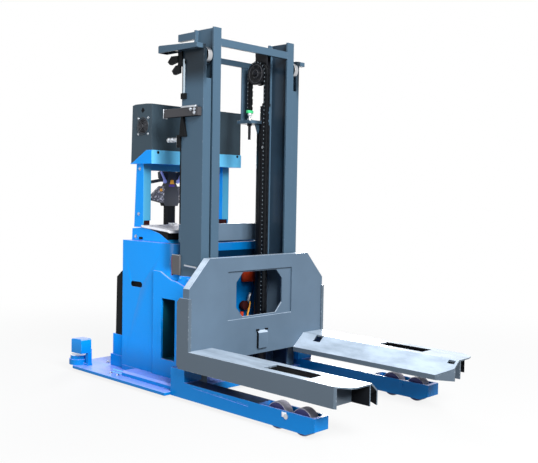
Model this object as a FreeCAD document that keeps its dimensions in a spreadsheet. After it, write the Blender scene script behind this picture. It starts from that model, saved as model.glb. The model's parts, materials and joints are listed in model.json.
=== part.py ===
import FreeCAD, Part
import math
import os

import Sketcher

# Automated pallet stacker: a tiller-steered, fork-over-legs stacker with a two-stage mast.
# Frame: +X is the fork direction, +Y the left side, +Z up, origin on the floor under the
# middle of the outline. All lengths are millimetres.

doc = FreeCAD.newDocument("pallet_stacker")
sheet = doc.addObject("Spreadsheet::Sheet", "Dims")

DIMENSIONS = {
    # forks
    "face_x": 50,  # front face of the carriage plate
    "fork_long": 1150,
    "fork_half": 588,  # outer faces of both forks
    "fork_top": 304,
    "fork_low": 196,
    "fork_sheet": 8,
    "fork_flat_in": 399,  # inner edge of the flat top
    "fork_foot_in": 303,  # inner edge of the sloping side
    "fork_slope_low": 221,
    "fork_lip_low": 192,
    "fork_nose": 93,  # length of the tapered nose
    "nose_out": 42,  # how far the nose narrows on the outer side, short of its cut corner
    "nose_in": 50,
    "rib_y": 410,  # stiffener inside the nose
    "hole_back": 612,
    "hole_front": 932,
    "hole_in": 443,
    "hole_out": 543,
    # carriage
    "plate_top": 824,
    "plate_half": 578,
    "plate_thick": 12,
    "plate_cut_y": 153,
    "plate_cut_z": 166,
    "rim_deep": 55,
    "rim_wall": 12,
    "window_half": 277.5,
    "window_low": 450,
    "window_high": 739,
    "view_half": 199,  # eight-sided opening of the second plate
    "view_low": 460,
    "view_high": 730,
    "view_cut_y": 54,
    "view_cut_z": 60,
    "cheek_long": 95,
    "cheek_top": 604,
    "arm_in": 252,
    "arm_out": 268,
    "guide_x": -120,
    "guide_low": 360,
    "guide_high": 730,
    "anchor_low": 395,
    "anchor_high": 430,
    # legs and load wheels
    "leg_in": 451,
    "leg_out": 555,
    "leg_mid": 503,
    "leg_top": 112,
    "leg_low": 20,
    "leg_tip": 976,
    "leg_wall": 9,
    "leg_rise": 24,
    "heel_top": 185,
    "wheel_r": 70,
    "wheel_wide": 56,
    "wheel_a": 700,
    "wheel_b": 872,
    "well_back": 602,
    "well_front": 956,
    "pivot_z": 86,
    # chassis
    "base_rear": -1200,
    "base_front": -134,
    "base_half": 600,
    "base_low": 20,
    "base_top": 40,
    "base_cut_x": 90,
    "base_cut_y": 170,
    "step_half": 530,
    "step_top": 72,
    "step_rear": -650,
    "body_rear": -800,
    "body_front": -241,
    "body_half": 424,
    "body_top": 890,
    "body_corner": 110,
    "niche_rear": -377,
    "niche_low": 180,
    "niche_high": 553,
    "niche_deep": 120,
    "handle_x": -650,  # recessed grip in the side of the body
    "handle_z": 613,
    "tail_rear": -964,
    "tail_half": 400,
    "tail_top": 118,
    "box_tail": -937,
    "box_top_z": 258,
    "cover_rear": -905,
    "cover_top": 704,
    "well_top": 336,
    "castor_well_top": 152,
    # hood
    "hood_half": 385,
    "hood_rear": -757,
    "hood_front": -350,
    "hood_top": 976,
    "lid_half": 391,
    # mast
    "mast_front": -42,
    "mast_rear": -235,
    "mast_half": 412,
    "mast_gap": 351,
    "mast_sheet": 14,
    "outer_top": 2038,
    "inner_front": -31,
    "inner_half": 346,
    "inner_open": 286,
    "inner_rear": -208,
    "inner_low": 230,
    "inner_top": 2171,
    "notch_low": 1871,
    "head_rear": -400,  # rear end of the beams on the mast head
    "head_half": 465,
    "head_top": 2083,
    "roller_x": -76,
    "roller_z": 2006,
    "support_thick": 14,
    # chain and lift cylinder
    "chain_y": 86,
    "pulley_x": -91,
    "pulley_z": 1950,
    "pitch_r": 73,
    "chain_pitch": 25.4,
    "link_long": 19,
    "chain_deep": 16,
    "chain_core": 26,
    "chain_wide": 40,
    "front_low": 430,
    "rear_low": 1712,
    "lift_x": -130,
    "lift_y": 177,
    "barrel_r": 42,
    "rod_r": 22,
    "barrel_top": 1640,
    "rod_arm_low": 1762,
    "rod_arm_top": 1782,
    # cabinet and posts
    "box_rear": -772,
    "box_front": -556,
    "box_half": 386,
    "box_low": 1388,
    "box_top": 1760,
    "tray_sheet": 4,
    "tray_low": 1380,
    "tray_top": 1467,
    "fan_x": -644,
    "fan_z": 1619,
    "post_front": -655,
    "post_in": 312,
    "post_out": 373,
    "post_low": 1018,
    # drive unit and castors
    "drive_x": -854,
    "drive_well_half": 132,
    "castor_well_half": 112,
    "turn_low": 710,
    "turn_pin": 786,
    "drive_r": 115,
    "drive_wide": 75,
    "castor_x": -560,
    "castor_y": 300,
    "castor_r": 62.5,
    "castor_wide": 40,
    "castor_trail": 38,
    # scanners
    "scan_x": -1086,
    "scan_y": 548,
    "scan_top": 216,
    "drum_x": -1137,
    "drum_y": 537,
    "drum_r": 61,
}

for row, (alias, value) in enumerate(DIMENSIONS.items(), start=1):
    sheet.set(f"A{row}", alias)
    sheet.set(f"B{row}", str(value))
    sheet.setAlias(f"B{row}", alias)
doc.recompute()

SUB_PARTS = []
SIDES = (("right", "-"), ("left", ""))


def dims(expression):
    """Write an expression in the sheet's words, such as "fork_top - fork_sheet"."""
    text = str(expression)
    words = sorted(DIMENSIONS, key=len, reverse=True)
    out = ""
    while text:
        word = next((w for w in words if text.startswith(w)), None)
        if word:
            out += "Dims." + word
            text = text[len(word):]
        else:
            out += text[0]
            text = text[1:]
    return out


def bind(item, sizes):
    for name, expression in sizes.items():
        item.setExpression(name, dims(expression))
    return item


def span(low, high):
    return f"({high}) - ({low})"


def block(name, xs, ys, zs):
    """A box between two limits on each axis."""
    item = doc.addObject("Part::Box", name)
    return bind(item, {
        "Length": span(*xs), "Width": span(*ys), "Height": span(*zs),
        "Placement.Base.x": xs[0], "Placement.Base.y": ys[0], "Placement.Base.z": zs[0],
    })


TURNS = {
    "X": FreeCAD.Rotation(FreeCAD.Vector(0, 1, 0), 90),
    "Y": FreeCAD.Rotation(FreeCAD.Vector(1, 0, 0), -90),
    "Z": FreeCAD.Rotation(),
}


def rod(name, axis, radius, start, length):
    """A round bar from its start point, along +X, +Y or +Z."""
    item = doc.addObject("Part::Cylinder", name)
    item.Placement = FreeCAD.Placement(FreeCAD.Vector(), TURNS[axis])
    return bind(item, {
        "Radius": radius, "Height": length,
        "Placement.Base.x": start[0], "Placement.Base.y": start[1], "Placement.Base.z": start[2],
    })


def fuse(name, items):
    item = doc.addObject("Part::MultiFuse", name)
    item.Shapes = items
    return item


def group(name, items):
    """Like pieces on one body: solids that do not touch."""
    item = doc.addObject("Part::Compound", name)
    item.Links = items
    return item


def cut(name, base, tools):
    item = doc.addObject("Part::Cut", name)
    item.Base = base
    item.Tool = tools[0] if len(tools) == 1 else fuse(name + "_tools", tools)
    return item


def mirror(name, source):
    """The same piece on the other side of the centre plane."""
    item = doc.addObject("Part::Mirroring", name)
    item.Source = source
    item.Normal = FreeCAD.Vector(0, 1, 0)
    return item


def both_sides(name, source):
    return group(name, [source, mirror(name + "_mirrored", source)])


def sub_part(node, item):
    item.Label = node
    SUB_PARTS.append((node, item))
    return item


def plane_of(body, role):
    return next(f for f in body.Origin.OriginFeatures if f.Role == role)


def outline(body, name, role, points, offset):
    """A closed sketch through points given in the sheet's words."""
    sketch = body.newObject("Sketcher::SketchObject", name)
    sketch.AttachmentSupport = [(plane_of(body, role), "")]
    sketch.MapMode = "FlatFace"
    bind(sketch, {"AttachmentOffset.Base.z": offset})
    count = len(points)
    around = [
        FreeCAD.Vector(math.cos(2 * math.pi * i / count), math.sin(2 * math.pi * i / count), 0) * 100
        for i in range(count)
    ]
    for i in range(count):
        sketch.addGeometry(Part.LineSegment(around[i], around[(i + 1) % count]), False)
    for i in range(count):
        sketch.addConstraint(Sketcher.Constraint("Coincident", i, 2, (i + 1) % count, 1))
    for i, (across, up) in enumerate(points):
        for kind, start, value in (("DistanceX", around[i].x, across), ("DistanceY", around[i].y, up)):
            index = sketch.addConstraint(Sketcher.Constraint(kind, -1, 1, i, 1, start))
            sketch.setExpression(f"Constraints[{index}]", dims(value))
    return sketch


def prism(name, role, points, low, high):
    """A pad of an outline from low to high along the plane's world axis."""
    body = doc.addObject("PartDesign::Body", name)
    along_y = role == "XZ_Plane"
    sketch = outline(body, name + "_outline", role, points, f"-({low})" if along_y else low)
    pad = body.newObject("PartDesign::Pad", name + "_pad")
    pad.Profile = sketch
    pad.Reversed = along_y
    bind(pad, {"Length": span(low, high)})
    return body


def pocket(body, name, role, points, low, high):
    """Cut an outline out of a body from low to high along the plane's world axis."""
    along_y = role == "XZ_Plane"
    sketch = outline(body, name + "_outline", role, points, f"-({low})" if along_y else low)
    item = body.newObject("PartDesign::Pocket", name)
    item.Profile = sketch
    item.Reversed = not along_y
    bind(item, {"Length": span(low, high)})
    return item


def rectangle(low_a, low_b, high_a, high_b):
    return [(low_a, low_b), (high_a, low_b), (high_a, high_b), (low_a, high_b)]


def mirrored(points):
    """A half outline, given from the centre plane outwards, with its mirror image."""
    return points + [(f"-({across})", up) for across, up in reversed(points)]


def turned(name, profile, centre):
    """A round piece about the Y axis: the profile is (across, radius) and stands at its centre."""
    body = doc.addObject("PartDesign::Body", name)
    sketch = outline(body, name + "_profile", "YZ_Plane", profile, "0")
    spin = body.newObject("PartDesign::Revolution", name + "_turn")
    spin.Profile = sketch
    spin.ReferenceAxis = (sketch, ["H_Axis"])
    spin.Angle = 360
    bind(body, {
        "Placement.Base.x": centre[0], "Placement.Base.y": centre[1], "Placement.Base.z": centre[2],
    })
    return body


def wheel(name, radius, width, bore, centre):
    half = f"({width}) / 2"
    return turned(name, [(f"-({half})", bore), (half, bore), (half, radius), (f"-({half})", radius)],
                  centre)


# ---- chassis ----


def drive_well(name, low, high):
    """The square opening in which the steered drive wheel turns."""
    return block(name, ("drive_x - drive_well_half", "drive_x + drive_well_half"),
                 ("-drive_well_half", "drive_well_half"), (low, high))


def castor_wells(name, low, high):
    return [
        block(f"{name}_{side}", ("castor_x - castor_well_half", "castor_x + castor_well_half"),
              (f"{sign}castor_y - castor_well_half", f"{sign}castor_y + castor_well_half"), (low, high))
        for side, sign in SIDES
    ]


def base_plate():
    plate = prism("base_sheet", "XY_Plane", [
        ("base_rear", "-base_half + base_cut_y"), ("base_rear + base_cut_x", "-base_half"),
        ("base_front", "-base_half"), ("base_front", "base_half"),
        ("base_rear + base_cut_x", "base_half"), ("base_rear", "base_half - base_cut_y"),
    ], "base_low", "base_top")
    wells = [drive_well("plate_drive_hole", "0", "base_top + 10")]
    wells += castor_wells("plate_castor_hole", "0", "base_top + 10")
    return cut("base_plate", plate, wells)


def chassis_frame():
    """Stepped skirt around the foot of the body, with the tail under the battery box."""
    skirt = prism("skirt", "YZ_Plane", mirrored([
        ("step_half", "base_top"), ("step_half", "step_top - 12"), ("step_half - 12", "step_top"),
    ]), "step_rear", "base_front")
    tail = block("tail", ("tail_rear", "body_rear"), ("-tail_half", "tail_half"),
                 ("base_top", "tail_top"))
    floor = block("floor", ("body_rear", "step_rear"), ("-body_half", "body_half"),
                  ("base_top", "step_top"))
    wells = [drive_well("frame_drive_well", "0", "tail_top + 10")]
    wells += castor_wells("frame_castor_well", "0", "step_top + 10")
    return cut("chassis_frame", fuse("chassis_sheets", [skirt, tail, floor]), wells)


def grip(side, low, high):
    """Tool for the oval grip in the side of the body."""
    ends = [
        rod(f"grip_end_{side}_{tag}", "Y", "17", (f"handle_x {shift}", low, "handle_z"), span(low, high))
        for tag, shift in (("rear", "- 41"), ("front", "+ 41"))
    ]
    middle = block(f"grip_middle_{side}", ("handle_x - 41", "handle_x + 41"), (low, high),
                   ("handle_z - 17", "handle_z + 17"))
    return ends + [middle]


def body_shell():
    shell = doc.addObject("PartDesign::Body", "shell")
    sketch = outline(shell, "shell_outline", "XY_Plane", [
        ("body_rear", "-body_half"), ("body_front", "-body_half"),
        ("body_front", "body_half"), ("body_rear", "body_half"),
    ], "step_top")
    pad = shell.newObject("PartDesign::Pad", "shell_pad")
    pad.Profile = sketch
    bind(pad, {"Length": span("step_top", "body_top")})
    doc.recompute()
    front_edges = [
        f"Edge{i + 1}" for i, edge in enumerate(pad.Shape.Edges)
        if abs(edge.BoundBox.ZLength - pad.Length.Value) < 1
        and edge.BoundBox.XMin > DIMENSIONS["body_front"] - 1
    ]
    rounding = shell.newObject("PartDesign::Fillet", "shell_corners")
    rounding.Base = (pad, front_edges)
    bind(rounding, {"Radius": "body_corner"})
    tools = [drive_well("shell_drive_well", "0", "well_top")]
    tools += castor_wells("shell_castor_well", "0", "castor_well_top")
    tools += [
        rod(f"stem_bore_{side}", "Z", "14.05", ("castor_x", f"{sign}castor_y", "0"), "186")
        for side, sign in SIDES
    ]
    for side, low, high in (("right", "-body_half - 1", "-body_half + 14"),
                            ("left", "body_half - 14", "body_half + 1")):
        tools += grip(side, low, high)
    for side, low, high in (("right", "-body_half - 1", "-body_half + niche_deep"),
                            ("left", "body_half - niche_deep", "body_half + 1")):
        tools.append(block(f"mast_niche_{side}", ("niche_rear", "body_front + 1"), (low, high),
                           ("niche_low", "niche_high")))
    return cut("body_shell", shell, tools)


sub_part("base_plate", base_plate())
sub_part("chassis_frame", chassis_frame())
sub_part("body_shell", body_shell())


def hood():
    return prism("hood", "XZ_Plane", [
        ("hood_rear", "body_top"), ("hood_rear + 4", "hood_top - 10"), ("hood_rear + 107", "hood_top"),
        ("hood_rear + 191", "hood_top - 10"), ("hood_rear + 292", "hood_top - 33"),
        ("hood_rear + 362", "hood_top - 67"), ("hood_front", "body_top"),
    ], "-hood_half", "hood_half")


def hood_lid():
    """Flat lid with a turned-down front edge, lying on the seal."""
    return prism("hood_lid", "XZ_Plane", [
        ("hood_rear + 107", "hood_top"), ("hood_rear + 107", "hood_top + 14"),
        ("hood_front - 24", "hood_top - 6"), ("hood_front - 14", "hood_top - 12"),
        ("hood_front - 14", "hood_top - 26"), ("hood_front - 38", "hood_top - 20"),
    ], "-lid_half", "lid_half")


def hood_fittings():
    """The thick rubber seal under the lid, deepest at the front, and the lid's lifting ring."""
    seal = prism("lid_seal", "XZ_Plane", [
        ("hood_rear + 107", "hood_top"), ("hood_front - 38", "hood_top - 20"),
        ("hood_front - 38", "hood_top - 67"), ("hood_rear + 362", "hood_top - 67"),
        ("hood_rear + 292", "hood_top - 33"), ("hood_rear + 191", "hood_top - 10"),
    ], "-hood_half", "hood_half")
    stem = rod("lid_ring_stem", "Z", "8", ("hood_front - 210", "-207", "hood_top + 8.2"), "18")
    disc = rod("lid_ring_disc", "Z", "27", ("hood_front - 210", "-207", "hood_top + 20"), "8")
    ring = cut("lid_ring", disc, [
        rod("lid_ring_hole", "Z", "17", ("hood_front - 176", "-207", "hood_top + 10"), "30")])
    return group("hood_fittings", [seal, fuse("lid_ring_solid", [stem, ring])])


sub_part("hood", hood())
sub_part("hood_lid", hood_lid())
sub_part("hood_fittings", hood_fittings())


def rear_cover():
    cover = prism("cover_solid", "XZ_Plane", [
        ("body_rear", "box_top_z"), ("cover_rear", "box_top_z"), ("cover_rear + 8", "640"),
        ("body_rear - 10", "cover_top"), ("body_rear", "cover_top"),
    ], "-tail_half", "tail_half")
    return cut("rear_cover", cover, [
        drive_well("cover_drive_well", "200", "well_top"),
        rod("column_bore", "Z", "30.05", ("drive_x", "0", "300"), "500"),
    ])


sub_part("rear_cover", rear_cover())
sub_part("battery_box", cut(
    "battery_box",
    block("battery_box_solid", ("box_tail", "body_rear"), ("-tail_half", "tail_half"),
          ("tail_top", "box_top_z")),
    [drive_well("box_drive_well", "100", "well_top")]))


# ---- legs with tandem load wheels ----


def leg_right():
    beam = prism("leg_beam", "XZ_Plane", [
        ("base_front", "leg_low"), ("leg_tip - 60", "leg_low"), ("leg_tip", "leg_low + leg_rise"),
        ("leg_tip", "leg_top"), ("base_front", "leg_top"),
    ], "-leg_out", "-leg_in")
    pocket(beam, "leg_well", "XZ_Plane", [
        ("well_back - 22", "leg_top + 5"), ("well_back + 8", "leg_low + 20"),
        ("well_back + 8", "leg_low - 5"), ("well_front", "leg_low - 5"), ("well_front", "leg_top + 5"),
    ], "-leg_out + leg_wall", "-leg_in - leg_wall")
    pocket(beam, "leg_groove", "XZ_Plane", [
        ("67", "96"), ("512", "81"), ("512", "88"), ("67", "100"),
    ], "-leg_out - 5", "-leg_out + 3")
    heel = block("leg_heel", ("base_front", "-12"), ("-leg_out", "-body_half"), ("leg_top", "heel_top"))
    pivot_hole = rod("bogie_pivot_hole", "Y", "14",
                     ("(wheel_a + wheel_b) / 2", "-leg_out - 10", "pivot_z"), "130")
    return cut("leg_right", fuse("leg_right_solid", [beam, heel]), [pivot_hole])


right_leg = sub_part("leg_right", leg_right())
sub_part("leg_left", mirror("leg_left", right_leg))


def bogie():
    """Two plates on a cross pin, with both wheel axles."""
    plates = [
        block(f"bogie_plate_{tag}", ("wheel_a - 22", "wheel_b + 22"),
              (f"-leg_mid + {low}", f"-leg_mid + {high}"), ("46", "92"))
        for tag, low, high in (("outer", -40, -34), ("inner", 34, 40))
    ]
    pivot = rod("bogie_pivot", "Y", "14", ("(wheel_a + wheel_b) / 2", "-leg_out - 4", "pivot_z"), "112")
    axles = [
        rod(f"axle_{spot}", "Y", "10", (f"wheel_{spot}", "-leg_mid - 40", "wheel_r"), "80")
        for spot in ("a", "b")
    ]
    return fuse("bogie_solid", plates + [pivot] + axles)


sub_part("bogies", both_sides("bogies", bogie()))

for side, sign in SIDES:
    for spot in ("a", "b"):
        sub_part(f"load_wheel_{side}_{spot}", wheel(
            f"load_wheel_{side}_{spot}", "wheel_r", "wheel_wide", "10.05",
            (f"wheel_{spot}", f"{sign}leg_mid", "wheel_r")))


# ---- outer mast, fixed to the chassis ----


def channel(name, web, lip, front, rear, low, high):
    """A rolled channel, open towards the centre plane; web and lip are negative y limits."""
    return prism(name, "XY_Plane", [
        (front, web), (front, lip), (f"{front} - mast_sheet", lip),
        (f"{front} - mast_sheet", f"{web} + mast_sheet"), (f"{rear} + mast_sheet", f"{web} + mast_sheet"),
        (f"{rear} + mast_sheet", lip), (rear, lip), (rear, web),
    ], low, high)


def outer_channel():
    notch = block("outer_notch", ("mast_front - mast_sheet - 1", "mast_front + 1"),
                  ("-mast_half + 22", "-mast_gap + 5"), ("notch_low", "outer_top + 1"))
    bars = channel("outer_bars", "-mast_half", "-mast_gap", "mast_front", "mast_rear",
                   "step_top", "outer_top")
    return cut("outer_channel", bars, [notch])


right_channel = sub_part("outer_channel_right", outer_channel())
sub_part("outer_channel_left", mirror("outer_channel_left", right_channel))


def outer_top_frame():
    """Top bar with the hanger that carries the chain's fixed end and the cylinder's head."""
    bar = prism("outer_bar", "YZ_Plane", mirrored([
        ("mast_gap", "2003"), ("mast_gap", "2022"), ("312", "2022"), ("312", "outer_top"),
    ]), "mast_rear", "mast_rear + 16")
    hanger = block("outer_hanger", ("mast_rear + 2", "mast_rear + 12"), ("72", "142"), ("1645", "2010"))
    anchor = block("chain_anchor_plate", ("mast_rear + 2", "lift_x + 20"), ("43", "lift_y + 10"),
                   ("1645", "1665"))
    gusset = prism("anchor_gusset", "YZ_Plane", [
        ("100", "1645"), ("lift_y - 30", "1645"), ("lift_y - 50", "1580"),
    ], "lift_x - 5", "lift_x + 5")
    hole = rod("barrel_hole", "Z", "barrel_r", ("lift_x", "lift_y", "1560"), "120")
    stud = rod("anchor_stud", "Z", "9", ("pulley_x - pitch_r", "chain_y", "1545"), "167")
    nuts = [
        rod(f"anchor_nut_{tag}", "Z", "15", ("pulley_x - pitch_r", "chain_y", low), "14")
        for tag, low in (("low", "1631"), ("high", "1665"), ("top", "1698"))
    ]
    plate = cut("anchor_bored", fuse("anchor_plates", [anchor, gusset]), [hole])
    return fuse("outer_top_frame", [bar, hanger, plate, stud] + nuts)


sub_part("outer_top_frame", outer_top_frame())
sub_part("outer_cross_members", group("outer_cross_members", [
    block("outer_cross_mid", ("mast_rear - 16", "mast_rear"), ("-mast_half", "mast_half"),
          ("902", "1010")),
    block("outer_cross_low", ("mast_rear - 6", "mast_rear + 10"), ("-mast_gap", "mast_gap"),
          ("step_top", "200")),
]))
sub_part("mast_foot_beam", block("mast_foot_beam", ("base_front", "-12"), ("-leg_in", "leg_in"),
                                 ("leg_low + 4", "step_top")))


def beside_mast(name, xs, zs, wide):
    return block(name + "_near", xs, (f"-mast_half - {wide}", "-mast_half"), zs)


def top_side_beam():
    """A folded beam on the mast head, open below, lower at its front end."""
    beam = prism("side_beam_solid", "XZ_Plane", [
        ("head_rear", "outer_top"), ("mast_front", "outer_top"), ("mast_front", "head_top - 17"),
        ("head_rear + 10", "head_top"), ("head_rear", "head_top - 4"),
    ], "-head_half", "-mast_half + 16")
    inside = block("side_beam_inside", ("head_rear + 6", "mast_rear - 20"),
                   ("-head_half + 6", "-mast_half + 10"), ("outer_top - 5", "head_top - 22"))
    return cut("side_beam", beam, [inside])


sub_part("top_side_beams", both_sides("top_side_beams", top_side_beam()))
bracket = beside_mast("side_bracket", ("-369", "-54"), ("1650", "1701"), "30")
foot_plate_pair = beside_mast("mast_foot_plates", ("-295", "-224"), ("706", "826"), "14")
sub_part("mast_brackets", group("mast_brackets", [
    bracket, foot_plate_pair, mirror("foot_plate_far", foot_plate_pair),
]))
sub_part("mast_clamps", both_sides("mast_clamps", prism("mast_clamp", "XZ_Plane", [
    ("-245", "585"), ("-123", "585"), ("-123", "705"), ("-222", "702"), ("-245", "660"),
], "-body_half", "-mast_half")))


def outer_roller(tag, tread_y, pin_y):
    return fuse(f"outer_roller_{tag}", [
        rod(f"outer_roller_{tag}_tread", "Y", "48", ("roller_x", tread_y, "roller_z"), "32"),
        rod(f"outer_roller_{tag}_pin", "Y", "15", ("roller_x", pin_y, "roller_z"), "30"),
    ])


sub_part("outer_rollers", group("outer_rollers", [
    outer_roller("near", "-388", "-mast_half + mast_sheet"), outer_roller("far", "356", "368")]))


def on_near_face(name, points, thick):
    """A flat piece on the outer mast's near face, standing off it by its thickness."""
    return prism(name, "XZ_Plane", points, f"-mast_half - {thick}", "-mast_half")


def limit_switches():
    """Two switches hanging under the near beam, beside the armoured tube of their cable."""
    stem = on_near_face("switch_stem", rectangle("-262", "1950", "-226", "outer_top"), 12)
    upper = on_near_face("switch_upper", [
        ("-349", "1984"), ("-328", "1966"), ("-258", "1980"), ("-258", "2014"), ("-316", "2016"),
    ], 20)
    lower = on_near_face("switch_lower", [
        ("-309", "1928"), ("-291", "1904"), ("-241", "1912"), ("-241", "1960"), ("-276", "1956"),
    ], 20)
    tube = rod("cable_tube", "Z", "7", ("-209", "-mast_half - 7", "1786"), "204")
    clip = on_near_face("cable_clip", rectangle("-236", "1962", "-198", "1976"), 9)
    box = on_near_face("cable_box", rectangle("-228", "1756", "-190", "1790"), 16)
    return fuse("limit_switches", [stem, upper, lower, tube, clip, box])


def mast_conduit():
    """Tapered boot on the near face, the cable below it, its block and a pipe fitting."""
    boot = on_near_face("conduit_boot", [
        ("-238", "1534"), ("-180", "1534"), ("-205", "1650"), ("-222", "1650"),
    ], 18)
    strip = block("conduit_strip", ("mast_rear - 13", "mast_rear"), ("-mast_half", "-mast_half + 16"),
                  ("1012", "1560"))
    junction = block("conduit_block", ("mast_rear - 32", "mast_rear"),
                     ("-mast_half - 12", "-mast_half + 20"), ("1470", "1545"))
    fitting = rod("pipe_fitting", "X", "11", ("-367", "-mast_half + 4", "1517"), "120")
    return fuse("mast_conduit", [boot, strip, junction, fitting])


sub_part("limit_switches", limit_switches())
sub_part("mast_conduit", mast_conduit())


def mast_support():
    """Side sheet that ties the mast foot to the body, with a tall window."""
    side = prism("support_sheet", "XZ_Plane", [
        ("-461", "step_top"), ("-150", "step_top"), ("-150", "640"), ("-245", "667"),
        ("-285", "670"), ("-393", "716"), ("-461", "718"),
    ], "-body_half - support_thick", "-body_half")
    pocket(side, "support_window", "XZ_Plane", rectangle("niche_rear", "niche_low", "-247", "niche_high"),
           "-body_half - 20", "-body_half + 6")
    return side


sub_part("mast_supports", both_sides("mast_supports", mast_support()))

sub_part("lift_barrel", cut(
    "lift_barrel",
    fuse("barrel_outside", [
        rod("barrel_tube", "Z", "barrel_r", ("lift_x", "lift_y", "step_top"),
            span("step_top", "barrel_top")),
        rod("barrel_gland", "Z", "barrel_r - 8", ("lift_x", "lift_y", "barrel_top"), "18"),
    ]),
    [rod("barrel_bore", "Z", "rod_r + 0.05", ("lift_x", "lift_y", "200"), "1600")]))


# ---- inner mast ----

def inner_channel():
    """An I-section: the flanges reach past the web on both sides, where the rollers run."""
    web_out = "-inner_half + 20"
    web_in = "-inner_half + 30"
    return prism("inner_channel_right", "XY_Plane", [
        ("inner_front", "-inner_half"), ("inner_front", "-inner_open"),
        ("inner_front - mast_sheet", "-inner_open"), ("inner_front - mast_sheet", web_in),
        ("inner_rear + mast_sheet", web_in), ("inner_rear + mast_sheet", "-inner_open"),
        ("inner_rear", "-inner_open"), ("inner_rear", "-inner_half"),
        ("inner_rear + mast_sheet", "-inner_half"), ("inner_rear + mast_sheet", web_out),
        ("inner_front - mast_sheet", web_out), ("inner_front - mast_sheet", "-inner_half"),
    ], "inner_low", "inner_top")


right_inner = sub_part("inner_channel_right", inner_channel())
sub_part("inner_channel_left", mirror("inner_channel_left", right_inner))


def inner_top_bar():
    """Cross bar with the pulley's arm and axle, and the hanger that the cylinder's rod lifts."""
    bar = block("inner_bar", ("inner_front - 20", "inner_front"), ("-inner_open", "inner_open"),
                ("2066", "2111"))
    arm = block("pulley_arm", ("pulley_x - 60", "inner_front - 20"), ("chain_y + 30", "chain_y + 40"),
                ("1915", "2111"))
    axle = rod("pulley_axle", "Y", "14", ("pulley_x", "chain_y - 34", "pulley_z"), "68")
    hanger = [
        block("lift_foot", ("lift_x - 15", "lift_x + 15"), ("lift_y", "lift_y + 49"),
              ("rod_arm_low", "rod_arm_top")),
        block("lift_hanger", ("lift_x - 8", "lift_x + 8"), ("lift_y + 3", "lift_y + 49"),
              ("rod_arm_low", "2105")),
        block("lift_head", ("lift_x - 8", "inner_front - 20"), ("lift_y + 3", "lift_y + 49"),
              ("2080", "2105")),
    ]
    return fuse("inner_top_bar", [bar, arm, axle] + hanger)


sub_part("inner_top_bar", inner_top_bar())
inner_head = block("inner_head_right", ("-358", "inner_rear"), ("-inner_half", "-inner_half + 26"),
                   ("2118", "inner_top - 9"))
sub_part("inner_cross_members", group("inner_cross_members", [
    block("inner_low_bar", ("inner_rear", "inner_rear + 18"), ("-inner_open", "inner_open"),
          ("inner_low", "inner_low + 90")),
    inner_head, mirror("inner_head_left", inner_head),
]))
sub_part("lift_rod", rod("lift_rod", "Z", "rod_r", ("lift_x", "lift_y", "320"),
                         span("320", "rod_arm_low")))
sub_part("chain_pulley", turned("chain_pulley", [
    ("-29", "14.05"), ("25", "14.05"), ("25", "pitch_r - 4"), ("21", "pitch_r - 4"),
    ("21", "pitch_r - 9"), ("-21", "pitch_r - 9"), ("-21", "pitch_r - 4"), ("-25", "pitch_r - 4"),
    ("-25", "34"), ("-29", "34"),
], ("pulley_x", "chain_y", "pulley_z")))


# ---- lift chain ----


def strand(name, x, low, high):
    """A straight run: a core with one wide link on every pitch."""
    body = doc.addObject("PartDesign::Body", name)
    sections = (
        ("core", "chain_core", low, span(low, high)),
        ("link", "chain_wide", f"{low} + 3", "link_long"),
    )
    pads = []
    for tag, wide, start, length in sections:
        sketch = outline(body, f"{name}_{tag}", "XY_Plane", rectangle(
            f"{x} - chain_deep / 2", f"chain_y - {wide} / 2",
            f"{x} + chain_deep / 2", f"chain_y + {wide} / 2"), start)
        pad = body.newObject("PartDesign::Pad", f"{name}_{tag}_pad")
        pad.Profile = sketch
        bind(pad, {"Length": length})
        pads.append(pad)
    doc.recompute()
    links = int(pads[0].Length.Value // DIMENSIONS["chain_pitch"])
    row = body.newObject("PartDesign::LinearPattern", name + "_links")
    row.Originals = [pads[1]]
    row.Direction = (plane_of(body, "Z_Axis"), [""])
    row.Occurrences = links
    bind(row, {"Length": f"chain_pitch * {links - 1}"})
    body.Tip = row
    return body


def chain_wrap():
    """The links that lie over the pulley, wide and narrow in turn."""
    links = 9
    step = 180 / links
    pieces = []
    for i in range(links):
        wide = "chain_wide" if i % 2 == 0 else "chain_core"
        link = doc.addObject("Part::Box", f"wrap_link_{i}")
        angle = math.radians(step * (i + 0.5))
        half = f"pitch_r * {math.tan(math.radians(step / 2)):.6f}"
        bind(link, {"Length": "chain_deep", "Width": wide, "Height": f"2 * {half}"})
        link.Placement = FreeCAD.Placement(
            FreeCAD.Vector(), FreeCAD.Rotation(FreeCAD.Vector(0, 1, 0), -math.degrees(angle)))
        bind(link, {
            "Placement.Base.x": f"pulley_x + (pitch_r - chain_deep / 2) * {math.cos(angle):.6f}"
                                f" + {half} * {math.sin(angle):.6f}",
            "Placement.Base.y": f"chain_y - {wide} / 2",
            "Placement.Base.z": f"pulley_z + (pitch_r - chain_deep / 2) * {math.sin(angle):.6f}"
                                f" - {half} * {math.cos(angle):.6f}",
        })
        pieces.append(link)
    return fuse("chain_wrap", pieces)


sub_part("chain_front", strand("chain_front", "pulley_x + pitch_r", "front_low", "pulley_z - 2"))
sub_part("chain_rear", strand("chain_rear", "pulley_x - pitch_r", "rear_low", "pulley_z - 2"))
sub_part("chain_wrap", chain_wrap())


# ---- carriage and forks ----

CARRIAGE_EDGE = [("plate_half", "plate_top - plate_cut_z"), ("plate_half - plate_cut_y", "plate_top")]


def carriage_plate():
    front = prism("carriage_plate", "YZ_Plane", mirrored([
        ("fork_foot_in", "fork_slope_low"), ("fork_flat_in", "fork_top - fork_sheet"),
        ("plate_half", "fork_top - fork_sheet"),
    ] + CARRIAGE_EDGE), "face_x - plate_thick", "face_x")
    pocket(front, "carriage_window", "YZ_Plane",
           rectangle("-window_half", "window_low", "window_half", "window_high"),
           "face_x - plate_thick - 5", "face_x + 5")
    return front


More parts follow.
